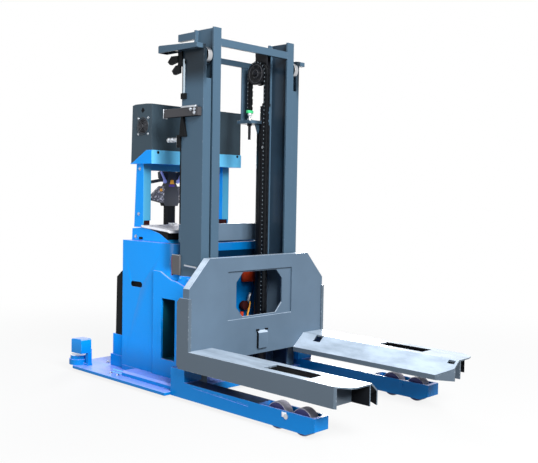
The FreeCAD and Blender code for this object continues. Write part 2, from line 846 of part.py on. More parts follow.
def carriage_rim():
    """The turned-back edge of the plate, over its top and both shoulders."""
    rim = prism("carriage_rim", "YZ_Plane", mirrored([("plate_half", "cheek_top")] + CARRIAGE_EDGE),
                "face_x - rim_deep", "face_x - plate_thick")
    pocket(rim, "carriage_rim_inside", "YZ_Plane", mirrored([
        ("plate_half - rim_wall", "cheek_top - 5"),
        ("plate_half - rim_wall", "plate_top - plate_cut_z - 5"),
        ("plate_half - plate_cut_y - 5", "plate_top - rim_wall"),
    ]), "face_x - rim_deep - 5", "face_x")
    return rim


def window_plate():
    """Second plate behind the window, with an eight-sided opening."""
    back_x = "face_x - plate_thick - 10"
    back = prism("window_sheet", "YZ_Plane",
                 rectangle("-window_half - 20", "window_low - 20", "window_half + 20", "window_high + 20"),
                 back_x, "face_x - plate_thick")
    pocket(back, "window_octagon", "YZ_Plane", mirrored([
        ("view_half - view_cut_y", "view_low"), ("view_half", "view_low + view_cut_z"),
        ("view_half", "view_high - view_cut_z"), ("view_half - view_cut_y", "view_high"),
    ]), f"{back_x} - 20", "face_x")
    return back


def fork_section(low):
    """The folded sheet of the right fork: outer wall, flat top, sloping side and lip."""
    return [
        ("-fork_half", low), ("-fork_half", "fork_top"), ("-fork_flat_in", "fork_top"),
        ("-fork_foot_in", "fork_slope_low"), ("-fork_foot_in", "fork_lip_low"),
        ("-fork_foot_in - fork_sheet", "fork_lip_low"),
        ("-fork_foot_in - fork_sheet", "fork_slope_low - 3"),
        ("-fork_flat_in - 3", "fork_top - fork_sheet"),
        ("-fork_half + fork_sheet", "fork_top - fork_sheet"), ("-fork_half + fork_sheet", low),
    ]


def nose_wall():
    """Wall under the inner taper; its top slopes as the side does."""
    start = "face_x + fork_long - fork_nose"
    tip = "face_x + fork_long"
    wall = prism("nose_wall_sheet", "XY_Plane", [
        (start, "-fork_foot_in"), (start, "-fork_foot_in - 9"), (tip, "-fork_foot_in - nose_in - 9"),
        (tip, "-fork_foot_in - nose_in"),
    ], "fork_lip_low", "fork_top")
    pocket(wall, "nose_wall_slope", "YZ_Plane", [
        ("-fork_foot_in + 10", "fork_slope_low - 13"), ("-fork_flat_in", "fork_top - 4"),
        ("-fork_flat_in", "fork_top + 10"), ("-fork_foot_in + 10", "fork_top + 10"),
    ], f"{start} - 5", f"{tip} + 5")
    return wall


def fork_right():
    start = "face_x + fork_long - fork_nose"
    tip = "face_x + fork_long"
    blade = prism("fork_blade", "YZ_Plane", fork_section("fork_low"), "face_x", tip)
    pocket(blade, "fork_hole", "XY_Plane",
           rectangle("hole_back", "-hole_out", "hole_front", "-hole_in"), "fork_top - 20", "fork_top + 5")
    for tag, back, front, outer, inner in (("rear", 168, 225, 398, 358), ("front", 1139, 1184, 393, 374)):
        pocket(blade, f"fork_slot_{tag}", "XY_Plane",
               rectangle(str(back), f"-{outer}", str(front), f"-{inner}"),
               "fork_slope_low - 5", "fork_top + 5")
    pocket(blade, "nose_outside", "XY_Plane", [
        (f"{start} + 8", "-fork_half - 1"), (f"{tip} + 1", "-fork_half - 1"),
        (f"{tip} + 1", "-fork_half + nose_out * 2"), (f"{tip} - 12", "-fork_half + nose_out"),
    ], "fork_low - 10", "fork_top + 5")
    pocket(blade, "nose_inside", "XY_Plane", [
        (start, "-fork_foot_in + 1"), (f"{tip} + 1", "-fork_foot_in - nose_in"),
        (f"{tip} + 1", "-fork_foot_in + 1"),
    ], "fork_low - 10", "fork_top + 5")
    cheek = prism("cheek_sheet", "XZ_Plane", [
        ("face_x - cheek_long", "fork_low + 20"), ("face_x - cheek_long + 20", "fork_low"),
        ("face_x", "fork_low"), ("face_x", "cheek_top"), ("face_x - cheek_long + 24", "cheek_top"),
        ("face_x - cheek_long", "cheek_top - 24"),
    ], "-fork_half", "-plate_half")
    flange = prism("cheek_flange", "XY_Plane", [
        ("face_x", "-fork_half"), ("face_x + 8", "-fork_half"), ("face_x + 8", "-plate_half + 12"),
        ("face_x", "-plate_half + 12"),
    ], "fork_low", "cheek_top")
    rib = block("nose_rib", (f"{start} - 30", tip), ("-rib_y - 8", "-rib_y"), ("fork_low", "fork_top - 4"))
    bulkhead = block("nose_bulkhead", (f"{start} - 24", f"{start} - 16"), ("-fork_half + 1", "-rib_y - 2"),
                     ("fork_low", "fork_top - 4"))
    return fuse("fork_right_solid", [blade, cheek, flange, rib, bulkhead, nose_wall()])


sub_part("carriage_plate", carriage_plate())
sub_part("carriage_rim", carriage_rim())
sub_part("window_plate", window_plate())
right_fork = sub_part("fork_right", fork_right())
sub_part("fork_left", mirror("fork_left", right_fork))


def carriage_frame():
    """Two upright arms with the roller pins, and the bar that anchors the chain."""
    back_x = "face_x - plate_thick - 10"
    pieces = [block("anchor_bar", ("pulley_x + pitch_r - 12", back_x), ("-arm_in", "arm_in"),
                    ("anchor_low", "anchor_high"))]
    arms = (("right", "-arm_out", "-arm_in", "-310"), ("left", "arm_in", "arm_out", "264"))
    for side, low, high, pin in arms:
        pieces.append(block(f"arm_{side}", ("inner_rear + 24", back_x), (low, high), ("300", "790")))
        pieces += [
            rod(f"roller_pin_{side}_{tag}", "Y", "18", ("guide_x", pin, f"guide_{tag}"), "46")
            for tag in ("low", "high")
        ]
    return fuse("carriage_frame", pieces)


def carriage_rollers():
    return group("carriage_rollers", [
        turned(f"carriage_roller_{side}_{tag}", [
            ("-11.5", "18.1"), ("11.5", "18.1"), ("11.5", "60"), ("-11.5", "60"),
        ], ("guide_x", f"{sign}298.5", f"guide_{tag}"))
        for side, sign in SIDES for tag in ("low", "high")
    ])


def carriage_flap():
    """Small hinged sensor cover on the face, with its two hinge knuckles."""
    cover = prism("flap_cover", "XZ_Plane", [
        ("face_x", "256"), ("face_x + 18", "256"), ("face_x + 18", "350"), ("face_x + 6", "364"),
        ("face_x", "364"),
    ], "-32", "48")
    knuckles = [
        rod(f"flap_knuckle_{i}", "Y", "7", ("face_x + 7", low, "367"), "18")
        for i, low in enumerate(("-40", "36"))
    ]
    return fuse("carriage_flap", [cover] + knuckles)


sub_part("carriage_frame", carriage_frame())
sub_part("carriage_rollers", carriage_rollers())
sub_part("carriage_flap", carriage_flap())


# ---- drive unit, castors and tiller ----


def drive_fork():
    head = rod("drive_head", "Z", "110", ("drive_x", "0", "250"), "80")
    arm = block("drive_arm", ("drive_x - 45", "drive_x + 45"), ("drive_wide / 2 + 8", "drive_wide / 2 + 26"),
                ("drive_r - 45", "260"))
    axle = rod("drive_axle", "Y", "20", ("drive_x", "-drive_wide / 2 - 2", "drive_r"), "drive_wide + 20")
    column = rod("drive_column", "Z", "30", ("drive_x", "0", "320"), span("320", "turn_low"))
    return fuse("drive_fork", [head, arm, axle, column])


sub_part("drive_fork", drive_fork())
sub_part("drive_wheel", wheel("drive_wheel", "drive_r", "drive_wide", "20.05",
                              ("drive_x", "0", "drive_r")))
sub_part("tiller_base", fuse("tiller_base", [
    rod("tiller_turntable", "Z", "44", ("drive_x", "0", "turn_low"), "16"),
    block("tiller_lug", ("drive_x - 25", "drive_x + 25"), ("-14", "14"), ("turn_low + 10", "turn_pin + 25")),
    rod("tiller_pin", "Y", "12", ("drive_x", "-38", "turn_pin"), "76"),
]))


def tiller_arm():
    """Round column on a clevis, hinged on the turntable's lug."""
    column = rod("tiller_column", "Z", "40", ("drive_x", "0", "turn_pin + 30"), span("turn_pin + 30", "1107"))
    clevis = block("tiller_clevis", ("drive_x - 28", "drive_x + 28"), ("-32", "32"),
                   ("turn_pin - 34", "turn_pin + 40"))
    slot = block("tiller_slot", ("drive_x - 60", "drive_x + 60"), ("-19", "19"),
                 ("turn_pin - 50", "turn_pin + 56"))
    bore = rod("tiller_pin_bore", "Y", "12.05", ("drive_x", "-60", "turn_pin"), "120")
    return cut("tiller_arm", fuse("tiller_shaft_solid", [column, clevis]), [slot, bore])


def tiller_head():
    """Control head: a housing that narrows upwards, with a horn, a grip bar and a lever each side."""
    housing = prism("head_housing", "YZ_Plane", mirrored([
        ("56", "1107"), ("66", "1132"), ("66", "1168"), ("52", "1240"), ("38", "1264"), ("36", "1344"),
        ("28", "1352"),
    ]), "drive_x - 24", "drive_x + 22")
    pieces = [housing]
    sides = {
        "horn": (-20, 20, [
            (50, 1118), (70, 1128), (166, 1148), (170, 1160), (164, 1172), (80, 1243), (50, 1243),
        ]),
        "bar": (-9, 9, [(30, 1282), (160, 1259), (170, 1268), (162, 1279), (30, 1302)]),
        "lever": (-12, 14, [(30, 1280), (66, 1272), (92, 1300), (96, 1338), (72, 1347), (30, 1330)]),
    }
    for name, (rear, front, points) in sides.items():
        for side, sign in SIDES:
            pieces.append(prism(f"head_{name}_{side}", "YZ_Plane", [
                (f"{sign}{across}", str(up)) for across, up in points
            ], f"drive_x + ({rear})", f"drive_x + {front}"))
    pieces.append(prism("head_display", "YZ_Plane", mirrored([("20", "1258"), ("12", "1286")]),
                        "drive_x + 20", "drive_x + 27"))
    return fuse("tiller_head", pieces)


sub_part("tiller_arm", tiller_arm())
sub_part("tiller_head", tiller_head())


def castor(side, sign):
    y = f"{sign}castor_y"
    wheel_x = "castor_x - castor_trail"
    top = rod(f"castor_top_{side}", "Z", "45", ("castor_x", y, "castor_r * 2 + 10"), "12")
    stem = rod(f"castor_stem_{side}", "Z", "14", ("castor_x", y, "castor_r * 2 + 20"), "38")
    cheeks = [
        block(f"castor_cheek_{side}_{tag}", (f"{wheel_x} - 20", "castor_x + 30"),
              (f"{y} + {low}", f"{y} + {high}"), ("castor_r - 20", "castor_r * 2 + 12"))
        for tag, low, high in (("low", -31, -26), ("high", 26, 31))
    ]
    axle = rod(f"castor_axle_{side}", "Y", "8", (wheel_x, f"{y} - 31", "castor_r"), "62")
    return fuse(f"castor_fork_{side}_solid", [top, stem, axle] + cheeks)


for side, sign in SIDES:
    sub_part(f"castor_fork_{side}", castor(side, sign))
    sub_part(f"castor_wheel_{side}", wheel(
        f"castor_wheel_{side}", "castor_r", "castor_wide", "8.05",
        ("castor_x - castor_trail", f"{sign}castor_y", "castor_r")))


# ---- control cabinet on its posts ----


def cabinet():
    """Sheet box with a slightly raised roof, and the round fan guard on its right side."""
    shell = prism("cabinet_box", "XZ_Plane", [
        ("box_rear", "box_low"), ("box_front", "box_low"), ("box_front", "box_top - 4"),
        ("box_front - 60", "box_top"), ("box_rear + 40", "box_top"), ("box_rear + 12", "box_top - 6"),
    ], "-box_half", "box_half")
    guard = cut("fan_guard", rod("fan_disc", "Y", "58", ("fan_x", "-box_half - 4", "fan_z"), "6"), [
        rod("fan_hole", "Y", "46", ("fan_x", "-box_half - 6", "fan_z"), "12")])
    hub = rod("fan_hub", "Y", "20", ("fan_x", "-box_half - 4", "fan_z"), "6")
    return fuse("cabinet", [shell, guard, hub])


def tray():
    """Open tray around the foot of the cabinet, its sides rising to the front."""
    sides = prism("tray_sheets", "XZ_Plane", [
        ("box_rear", "tray_low"), ("box_front + tray_sheet", "tray_low"),
        ("box_front + tray_sheet", "tray_top"), ("box_front - 50", "tray_top"),
        ("box_rear + 18", "box_low"), ("box_rear", "box_low"),
    ], "-box_half - tray_sheet", "box_half + tray_sheet")
    inside = block("tray_inside", ("box_rear - 1", "box_front"), ("-box_half", "box_half"),
                   ("box_low", "tray_top + 1"))
    return cut("tray", sides, [inside])


def posts():
    """Two box posts, wider at the foot, with a skirt down to the hood, and the bar between them."""
    post = prism("post", "XZ_Plane", [
        ("post_front - 94", "post_low"), ("post_front", "post_low"), ("post_front", "tray_low"),
        ("post_front - 75", "tray_low"),
    ], "-post_out", "-post_in")
    skirt = prism("post_skirt", "XZ_Plane", [
        ("post_front - 97", "hood_top - 2"), ("post_front - 6", "hood_top"), ("post_front", "post_low"),
        ("post_front - 94", "post_low"),
    ], "-post_out", "-post_out + 8")
    near = fuse("post_right", [post, skirt])
    bar = block("post_bar", ("post_front - 45", "post_front - 25"), ("-post_in", "post_in"),
                ("tray_low - 40", "tray_low"))
    return fuse("posts", [near, mirror("post_left", near), bar])


sub_part("cabinet", cabinet())
sub_part("tray", tray())
sub_part("posts", posts())
sub_part("post_feet", both_sides("post_feet", block(
    "post_foot", ("post_front - 70", "post_front - 5"), ("-post_out + 10", "-post_in - 5"),
    ("hood_top", "post_low"))))


# ---- safety scanners on the rear corners ----


def scanner():
    """A flat drum under a capped head, which an upright holds at the front."""
    centre = ("drum_x", "-drum_y")
    drum = fuse("scanner_drum", [
        rod("scanner_drum_low", "Z", "drum_r", centre + ("base_top",), "36"),
        rod("scanner_drum_top", "Z", "drum_r - 8", centre + ("base_top + 36",), "26"),
    ])
    foot = block("scanner_foot", ("drum_x", "scan_x + 58"), ("-scan_y + 10", "-scan_y + 48"),
                 ("base_top", "base_top + 12"))
    upright = block("scanner_upright", ("scan_x + 30", "scan_x + 58"), ("-scan_y + 14", "-scan_y + 44"),
                    ("base_top", "150"))
    head = prism("scanner_head", "XZ_Plane", [
        ("scan_x - 59", "122"), ("scan_x + 59", "126"), ("scan_x + 59", "scan_top - 2"),
        ("scan_x + 48", "scan_top + 6"), ("scan_x - 48", "scan_top"), ("scan_x - 59", "scan_top - 8"),
    ], "-scan_y - 39", "-scan_y + 39")
    return fuse("scanner", [drum, foot, upright, head])


sub_part("scanners", both_sides("scanners", scanner()))


# ---- checks and files ----

doc.recompute()
for item in doc.Objects:
    if "Invalid" in item.State or "Error" in item.State:
        raise RuntimeError(f"{item.Name} failed: {item.State}")
os.makedirs("parts", exist_ok=True)
for node, item in SUB_PARTS:
    if item.Shape.isNull() or not item.Shape.isValid():
        raise RuntimeError(f"{node} has no valid shape")
    item.Shape.exportStep(f"parts/{node}.step")
    box = item.Shape.BoundBox
    print(f"{node}: {len(item.Shape.Solids)} solid, x {box.XMin:.0f}..{box.XMax:.0f}, "
          f"y {box.YMin:.0f}..{box.YMax:.0f}, z {box.ZMin:.0f}..{box.ZMax:.0f}")
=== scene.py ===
# %% [markdown]
# # An automated pallet stacker
# A tiller-steered stacker: a blue chassis with straddle legs, a two-stage grey mast, a fork
# carriage, a control cabinet on posts and a scanner on each rear corner. The solid parts come
# from the CAD model as a fixed frame. This lesson gives them their finish, breaks their sharp
# edges and adds what a solid model leaves out: chain links, bolts, guards, louvres and levers.

import json
import math

import bmesh
import bpy
from mathutils import Matrix, Vector


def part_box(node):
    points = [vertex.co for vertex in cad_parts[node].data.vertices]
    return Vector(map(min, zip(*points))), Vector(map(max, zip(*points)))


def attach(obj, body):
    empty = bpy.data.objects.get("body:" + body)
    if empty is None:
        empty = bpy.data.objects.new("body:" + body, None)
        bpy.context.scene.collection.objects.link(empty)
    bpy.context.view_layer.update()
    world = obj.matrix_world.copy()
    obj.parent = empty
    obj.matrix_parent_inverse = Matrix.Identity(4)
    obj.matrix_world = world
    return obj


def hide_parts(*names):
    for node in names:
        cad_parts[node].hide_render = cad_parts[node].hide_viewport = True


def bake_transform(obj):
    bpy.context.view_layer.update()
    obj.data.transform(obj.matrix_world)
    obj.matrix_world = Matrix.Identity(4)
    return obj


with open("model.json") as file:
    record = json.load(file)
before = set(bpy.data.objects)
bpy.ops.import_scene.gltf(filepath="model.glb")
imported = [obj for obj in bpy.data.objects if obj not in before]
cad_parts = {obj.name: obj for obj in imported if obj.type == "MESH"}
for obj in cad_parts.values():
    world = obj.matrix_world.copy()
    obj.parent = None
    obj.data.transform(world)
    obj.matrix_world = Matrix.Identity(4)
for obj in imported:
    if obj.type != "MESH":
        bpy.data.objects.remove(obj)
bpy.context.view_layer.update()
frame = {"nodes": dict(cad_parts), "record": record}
nodes = frame["nodes"]
bpy.ops.object.select_all(action="DESELECT")
print("CAD nodes:", len(nodes))

# %% [markdown]
# ## The camera
# A machine this size is looked at from a few metres, at about chest height. The camera stands
# off the right front corner. Its three axes come from a heading, a small dip and a slight roll,
# so each can be changed alone. A matrix holds them with no guessing about rotation order.

# %% Camera
HEADING = math.radians(44.006)
DIP = math.radians(2.7775)
ROLL = math.radians(-1.006)
EYE = Vector((3.44656, -3.45671, 1.20791))
SENSOR_WIDTH = 36.0  # millimetres
FOCAL_SHARE = 1.47116171  # focal length as a share of the sensor's width

forward = Vector((
    -math.sin(HEADING) * math.cos(DIP), math.cos(HEADING) * math.cos(DIP), -math.sin(DIP)))
level_right = forward.cross(Vector((0, 0, 1))).normalized()
level_down = forward.cross(level_right)
right = math.cos(ROLL) * level_right + math.sin(ROLL) * level_down
up = math.sin(ROLL) * level_right - math.cos(ROLL) * level_down


def placed(name, data):
    """A new object in the scene that holds some data."""
    item = bpy.data.objects.new(name, data)
    bpy.context.scene.collection.objects.link(item)
    return item


camera_data = bpy.data.cameras.new("camera")
camera_data.sensor_width = SENSOR_WIDTH
camera_data.lens = FOCAL_SHARE * SENSOR_WIDTH
camera = placed("camera", camera_data)
camera.matrix_world = Matrix.Translation(EYE) @ Matrix((right, up, -forward)).transposed().to_4x4()
bpy.context.scene.camera = camera
print("lens:", round(camera_data.lens, 2), "mm")

# %% [markdown]
# ## Floor, background and light
# A white studio has no edges and no horizon. A white floor that is only lit turns grey, and more
# light would bleach the paint. So the floor is part plain diffuse, which keeps the shadow, and
# part glow that only camera, glossy and glass rays meet. The world does the same behind it.


# %% Helpers for node materials
def new_material(name="finish"):
    """An empty material, the function that adds nodes to it, and the object's coordinates."""
    material = bpy.data.materials.new(name)
    material.use_nodes = True
    material.node_tree.nodes.clear()
    add = node_maker(material.node_tree)
    return material, add, add("TexCoord").outputs["Object"]


def node_maker(tree):
    """add(kind, inputs) makes a node; an input is a value or another node's output socket."""
    def add(kind, inputs=None, **settings):
        node = tree.nodes.new("ShaderNode" + kind)
        for key, value in settings.items():
            setattr(node, key, value)
        for key, value in (inputs or {}).items():
            if isinstance(value, bpy.types.NodeSocket):
                tree.links.new(value, node.inputs[key])
            else:
                node.inputs[key].default_value = value
        return node
    return add


def mixed(add, share, first, second, **settings):
    """The first colour, with a share of the second."""
    return add("Mix", {0: share, 6: first, 7: second}, data_type="RGBA", **settings).outputs[2]


def product(add, first, second):
    """Two values multiplied."""
    return add("Math", {0: first, 1: second}, operation="MULTIPLY").outputs[0]


def ramp(add, value, start, end, low=0.0, high=1.0, **settings):
    """Low where a value is at its start, high where it is at its end."""
    return add("MapRange", {"Value": value, "From Min": start, "From Max": end,
                            "To Min": low, "To Max": high}, **settings).outputs[0]


def is_any_ray(add, *kinds):
    """1 where the ray is any of the kinds that Light Path names."""
    path = add("LightPath")
    total = path.outputs[kinds[0]]
    for kind in kinds[1:]:
        total = add("Math", {0: total, 1: path.outputs[kind]}, operation="MAXIMUM").outputs[0]
    return total


SEEN_RAYS = ("Is Camera Ray", "Is Glossy Ray", "Is Transmission Ray")

# %% Floor
FLOOR_RADIUS, FLOOR_CORNERS = 30.0, 96
FLOOR_DROP = 0.0015  # the floor lies this far under the wheels, so that no two faces coincide
GLOW_NEAR, GLOW_FAR = 0.86, 1.0  # share of glow under the object and out at the horizon
GLOW_FROM, GLOW_TO = 1.9, 4.6  # distances between which the glow grows
FLOOR_SEEN = (0.50, 0.50, 0.50, 1)
FLOOR_BOUNCE = (0.12, 0.12, 0.13, 1)  # darker for bounced light, so that no wall is lit from below
WHITE = (1, 1, 1, 1)

floor_finish, add, place = new_material("studio_floor")
reach = add("VectorMath", {0: place}, operation="LENGTH").outputs["Value"]
spread = ramp(add, reach, GLOW_FROM, GLOW_TO, GLOW_NEAR, GLOW_FAR, interpolation_type="SMOOTHSTEP")
share = product(add, is_any_ray(add, *SEEN_RAYS), spread)
bounce = add("LightPath").outputs["Is Diffuse Ray"]
matt = add("BsdfDiffuse", {"Color": mixed(add, bounce, FLOOR_SEEN, FLOOR_BOUNCE)})
glow = add("Emission", {"Color": WHITE, "Strength": 1.0})
both = add("MixShader", {0: share, 1: matt.outputs[0], 2: glow.outputs[0]})
add("OutputMaterial", {"Surface": both.outputs[0]})

bpy.ops.mesh.primitive_circle_add(
    vertices=FLOOR_CORNERS, radius=FLOOR_RADIUS, fill_type="NGON", location=(0, 0, -FLOOR_DROP))
floor = bpy.context.object
floor.name = "floor"
floor.data.materials.append(floor_finish)
bpy.ops.object.select_all(action="DESELECT")
print("floor radius:", FLOOR_RADIUS)

# %% World
STUDIO_GREY = (0.86, 0.90, 0.96, 1)
STUDIO_STRENGTH = 0.30

world = bpy.data.worlds.new("studio")
world.use_nodes = True
world.node_tree.nodes.clear()
bpy.context.scene.world = world
add = node_maker(world.node_tree)
plain = add("Background", {"Color": STUDIO_GREY, "Strength": STUDIO_STRENGTH})
white = add("Background", {"Color": WHITE, "Strength": 1.0})
seen = is_any_ray(add, *SEEN_RAYS)
either = add("MixShader", {0: seen, 1: plain.outputs[0], 2: white.outputs[0]})
add("OutputWorld", {"Surface": either.outputs[0]})
print("studio light:", STUDIO_STRENGTH)

# %% [markdown]
# ## Lamps
# Three large square lamps light the machine as in a studio. The key stands in front of the forks,
# a fill opens the shaded near side, and a third from behind draws the tops and rear edges.

# %% Lamps
def soft_lamp(name, place, aim, size, power):
    """A square area lamp that points at a spot."""
    data = bpy.data.lights.new(name, "AREA")
    data.size = size
    data.energy = power
    lamp = placed(name, data)
    lamp.location = place
    lamp.rotation_mode = "QUATERNION"
    lamp.rotation_quaternion = (Vector(aim) - Vector(place)).to_track_quat("-Z", "Y")


soft_lamp("key_front", place=(5.4, -2.0, 4.4), aim=(0, 0, 0.9), size=3.0, power=940)
soft_lamp("right_fill", place=(-0.8, -6.5, 1.4), aim=(0, 0, 1.0), size=2.6, power=176)
soft_lamp("back_fill", place=(-4.6, 5.4, 3.0), aim=(0, 0, 0.9), size=3.0, power=560)
bpy.context.scene.view_settings.view_transform = "Standard"
print("lamps:", len(bpy.data.lights))

# %% [markdown]
# ## Finishes
# Powder coat is a thick, satin paint. Close up it has a fine orange-peel skin, its tone drifts
# a little over a large sheet, dust with a painted sheen lies on what faces up, its edges are
# rubbed and carry a painted highlight, and some zones carry painted shade. One function makes
# every paint from a colour, and each paint keeps its own gloss and rubbed edges.


# %% Paint
def principled(material, add, inputs):
    """End a material in one Principled shader."""
    shader = add("BsdfPrincipled", inputs)
    add("OutputMaterial", {"Surface": shader.outputs[0]})
    return material


def drifted(add, place, colour, amount, scale):
    """A colour that drifts lighter and darker over the surface."""
    noise = add("TexNoise", {"Vector": place, "Scale": scale, "Detail": 3.0, "Roughness": 0.55})
    low = [c * (1 - amount) for c in colour] + [1]
    high = [min(1.0, c * (1 + amount)) for c in colour] + [1]
    return mixed(add, noise.outputs["Fac"], low, high)


def paint(colour, rough, peel=0.05, drift=0.07, wear_and_highlight=0.0, bare_and_highlight=(0.62, 0.66, 0.70),
          coat=0.3, dust_and_sheen=0.0, dust_and_sheen_colour=(0.62, 0.70, 0.78), darker_zones=(), darker_tops=()):
    """Powder coat with orange peel, drifting tone, darker zones, rubbed edges with a painted
    highlight, and dust with a painted sheen on what faces up.
    """
    material, add, place = new_material()
    tone = drifted(add, place, colour, drift, 3.2)
    fine = add("TexNoise", {"Vector": place, "Scale": 420.0, "Detail": 2.0})
    blotch = add("TexNoise", {"Vector": place, "Scale": 9.0, "Detail": 4.0, "Roughness": 0.6})
    rough_drift = ramp(add, blotch.outputs["Fac"], 0.3, 0.7, rough - 0.06, rough + 0.08)
    # Darker zones on the upright faces, most of them painted shade
    for limits, keep in darker_zones:
        tone = darkened(add, place, tone, limits, keep)
    if dust_and_sheen:
        tone = with_dust_and_sheen(add, place, tone, dust_and_sheen_colour, dust_and_sheen)
    # Darker zones on the faces that look up: the forks' painted shadow on the legs, and a darker
    # strip on the body's top
    for limits, keep in darker_tops:
        tone = darkened(add, place, tone, limits, keep, upward=True)
    if wear_and_highlight:
        tone = worn_and_highlit(add, place, tone, bare_and_highlight, wear_and_highlight)
    bump = add("Bump", {"Height": fine.outputs["Fac"], "Strength": peel, "Distance": 0.0012})
    return principled(material, add, {
        "Base Color": tone, "Roughness": rough_drift, "Normal": bump.outputs[0],
        "Coat Weight": coat, "Coat Roughness": 0.14, "Coat IOR": 1.25,
        "Specular IOR Level": 0.08})


# %% Darker zones, dust with a painted sheen, and rubbed edges with a painted highlight
def darkened(add, place, tone, limits, keep, upward=False):
    """A darker zone, which fades in along each axis it names, on both hands alike; most zones here
    are painted shade.

    It lies on the upright faces, or else on those that look up, and keeps a share of the tone.
    """
    where = add("SeparateXYZ", {0: place})
    facing = add("SeparateXYZ", {0: add("NewGeometry").outputs["Normal"]})
    start, end = (0.4, 0.9) if upward else (0.9, 0.4)
    mask = ramp(add, facing.outputs["Z"], start, end)
    for axis, start, end in limits:
        along = where.outputs[axis]
        if axis == "Y":
            along = add("Math", {0: along}, operation="ABSOLUTE").outputs[0]
        fade = ramp(add, along, start, end, interpolation_type="SMOOTHSTEP")
        mask = product(add, mask, fade)
    return mixed(add, mask, tone, [keep, keep, keep, 1], blend_type="MULTIPLY")


def with_dust_and_sheen(add, place, tone, colour, amount):
    """Scuffs and dust, with a painted sheen, that lie in streaks on the faces that look up."""
    facing = add("SeparateXYZ", {0: add("NewGeometry").outputs["Normal"]})
    upward = ramp(add, facing.outputs["Z"], 0.35, 0.70)
    lines = add("Mapping", {"Vector": place, "Scale": (3.0, 11.0, 6.0)})
    streak = add("TexNoise", {
        "Vector": lines.outputs[0], "Scale": 1.6, "Detail": 6.0, "Roughness": 0.6})
    lying = ramp(add, streak.outputs["Fac"], 0.34, 0.62, 0.62 * amount, amount)
    return mixed(add, product(add, upward, lying), tone, [*colour, 1])


def worn_and_highlit(add, place, tone, bare_and_highlight, wear_and_highlight):
    """A paler colour where the edges are rubbed, broken up by a coarse grain: bare metal, and a
    painted highlight along the edges.
    """
    rounded = add("Bevel", {"Radius": 0.006}, samples=4)
    true = add("NewGeometry")
    same = add("VectorMath", {0: rounded.outputs[0], 1: true.outputs["Normal"]},
               operation="DOT_PRODUCT")
    grain = add("TexNoise", {"Vector": place, "Scale": 60.0, "Detail": 5.0, "Roughness": 0.65})
    bent = ramp(add, same.outputs["Value"], 0.995, 0.90)
    broken = ramp(add, grain.outputs["Fac"], 0.62 - 0.25 * wear_and_highlight, 0.72 - 0.25 * wear_and_highlight, 0.0, wear_and_highlight)
    return mixed(add, product(add, bent, broken), tone, [*bare_and_highlight, 1])


# %% Metal, plastic and flecks
def metal(colour, rough, brushed=0.0, drift=0.08):
    """Bare or plated metal; brushed deepens its fine upright lines."""
    material, add, place = new_material()
    tone = drifted(add, place, colour, drift, 30.0)
    lined = add("Mapping", {"Vector": place, "Scale": (500.0, 500.0, 12.0)})
    grain = add("TexNoise", {"Vector": lined.outputs[0], "Scale": 1.0, "Detail": 2.0})
    rough_drift = ramp(add, grain.outputs["Fac"], 0.0, 1.0, rough - 0.08, rough + 0.1)
    bump = add("Bump", {
        "Height": grain.outputs["Fac"], "Strength": 0.04 + brushed, "Distance": 0.0006})
    return principled(material, add, {
        "Base Color": tone, "Metallic": 1.0, "Roughness": rough_drift,
        "Normal": bump.outputs[0]})


def moulded(colour, rough=0.5, grain=0.12, scale=700.0, sheen=0.12):
    """Moulded plastic or rubber with a fine leather-like grain."""
    material, add, place = new_material()
    tone = drifted(add, place, colour, 0.1, 14.0)
    cells = add("TexVoronoi", {"Vector": place, "Scale": scale})
    bump = add("Bump", {"Height": cells.outputs["Distance"], "Strength": grain, "Distance": 0.0008})
    return principled(material, add, {
        "Base Color": tone, "Roughness": rough, "Specular IOR Level": sheen,
        "Normal": bump.outputs[0]})


def flecked(colour, fleck, scale, share):
    """Plastic or dusty sheet with small flecks of a second colour."""
    material, add, place = new_material()
    tone = drifted(add, place, colour, 0.1, 14.0)
    noise = add("TexNoise", {"Vector": place, "Scale": scale, "Detail": 3.0, "Roughness": 0.7})
    spot = ramp(add, noise.outputs["Fac"], 0.80 - 0.4 * share, 0.84 - 0.4 * share)
    tone = mixed(add, spot, tone, [*fleck, 1])
    bump = add("Bump", {"Height": noise.outputs["Fac"], "Strength": 0.1, "Distance": 0.0008})
    return principled(material, add, {
        "Base Color": tone, "Roughness": 0.55, "Specular IOR Level": 0.1,
        "Normal": bump.outputs[0]})


# %% [markdown]
# ## Where the paint is darker
# Most zones are painted shade: on the body beside and behind the mast, under the mast's top
# beam, on the legs' tops under the forks, and on what is low. A zone is a list of limits: an
# axis, where the darkening starts and where it is full. The number after the list is the share
# of the paint's own tone that is left there.

# %% Zones of darker paint
# Painted shade: the paint darkens towards the floor, where less light reaches what is low.
LOW_PAINTED_SHADE = ([("Z", 0.26, 0.08)], 0.60)
# Painted shade on the body's front between the masts, behind the carriage.
BEHIND_CARRIAGE_PAINTED_SHADE = ([("X", -0.40, -0.34), ("Y", 0.352, 0.346), ("Z", 0.30, 0.32)], 0.42)
# A dark band across the body's front between the masts.
BETWEEN_MASTS_DARK_BAND = (
    [("X", -0.40, -0.34), ("Y", 0.352, 0.346), ("Z", 0.790, 0.798), ("Z", 0.842, 0.838)], 0.10)
# Painted shade on the body's side next to the mast's foot.
BESIDE_MAST_PAINTED_SHADE = (
    [("X", -0.43, -0.27), ("Y", 0.35, 0.37), ("Z", 0.70, 0.76), ("Z", 1.10, 1.00)], 0.18)
# Painted shadow of the top side beam on the mast's near faces below it.
BEAM_PAINTED_SHADOW = ([("Y", 0.38, 0.40), ("Y", 0.425, 0.415), ("Z", 1.80, 1.93)], 0.18)
# Painted shadow of the forks on the tops of the legs.
LEG_TOP_PAINTED_SHADOW = (
    [("X", -0.02, 0.02), ("X", 0.62, 0.58), ("Y", 0.440, 0.448), ("Z", 0.104, 0.110),
     ("Z", 0.118, 0.114)], 0.10)
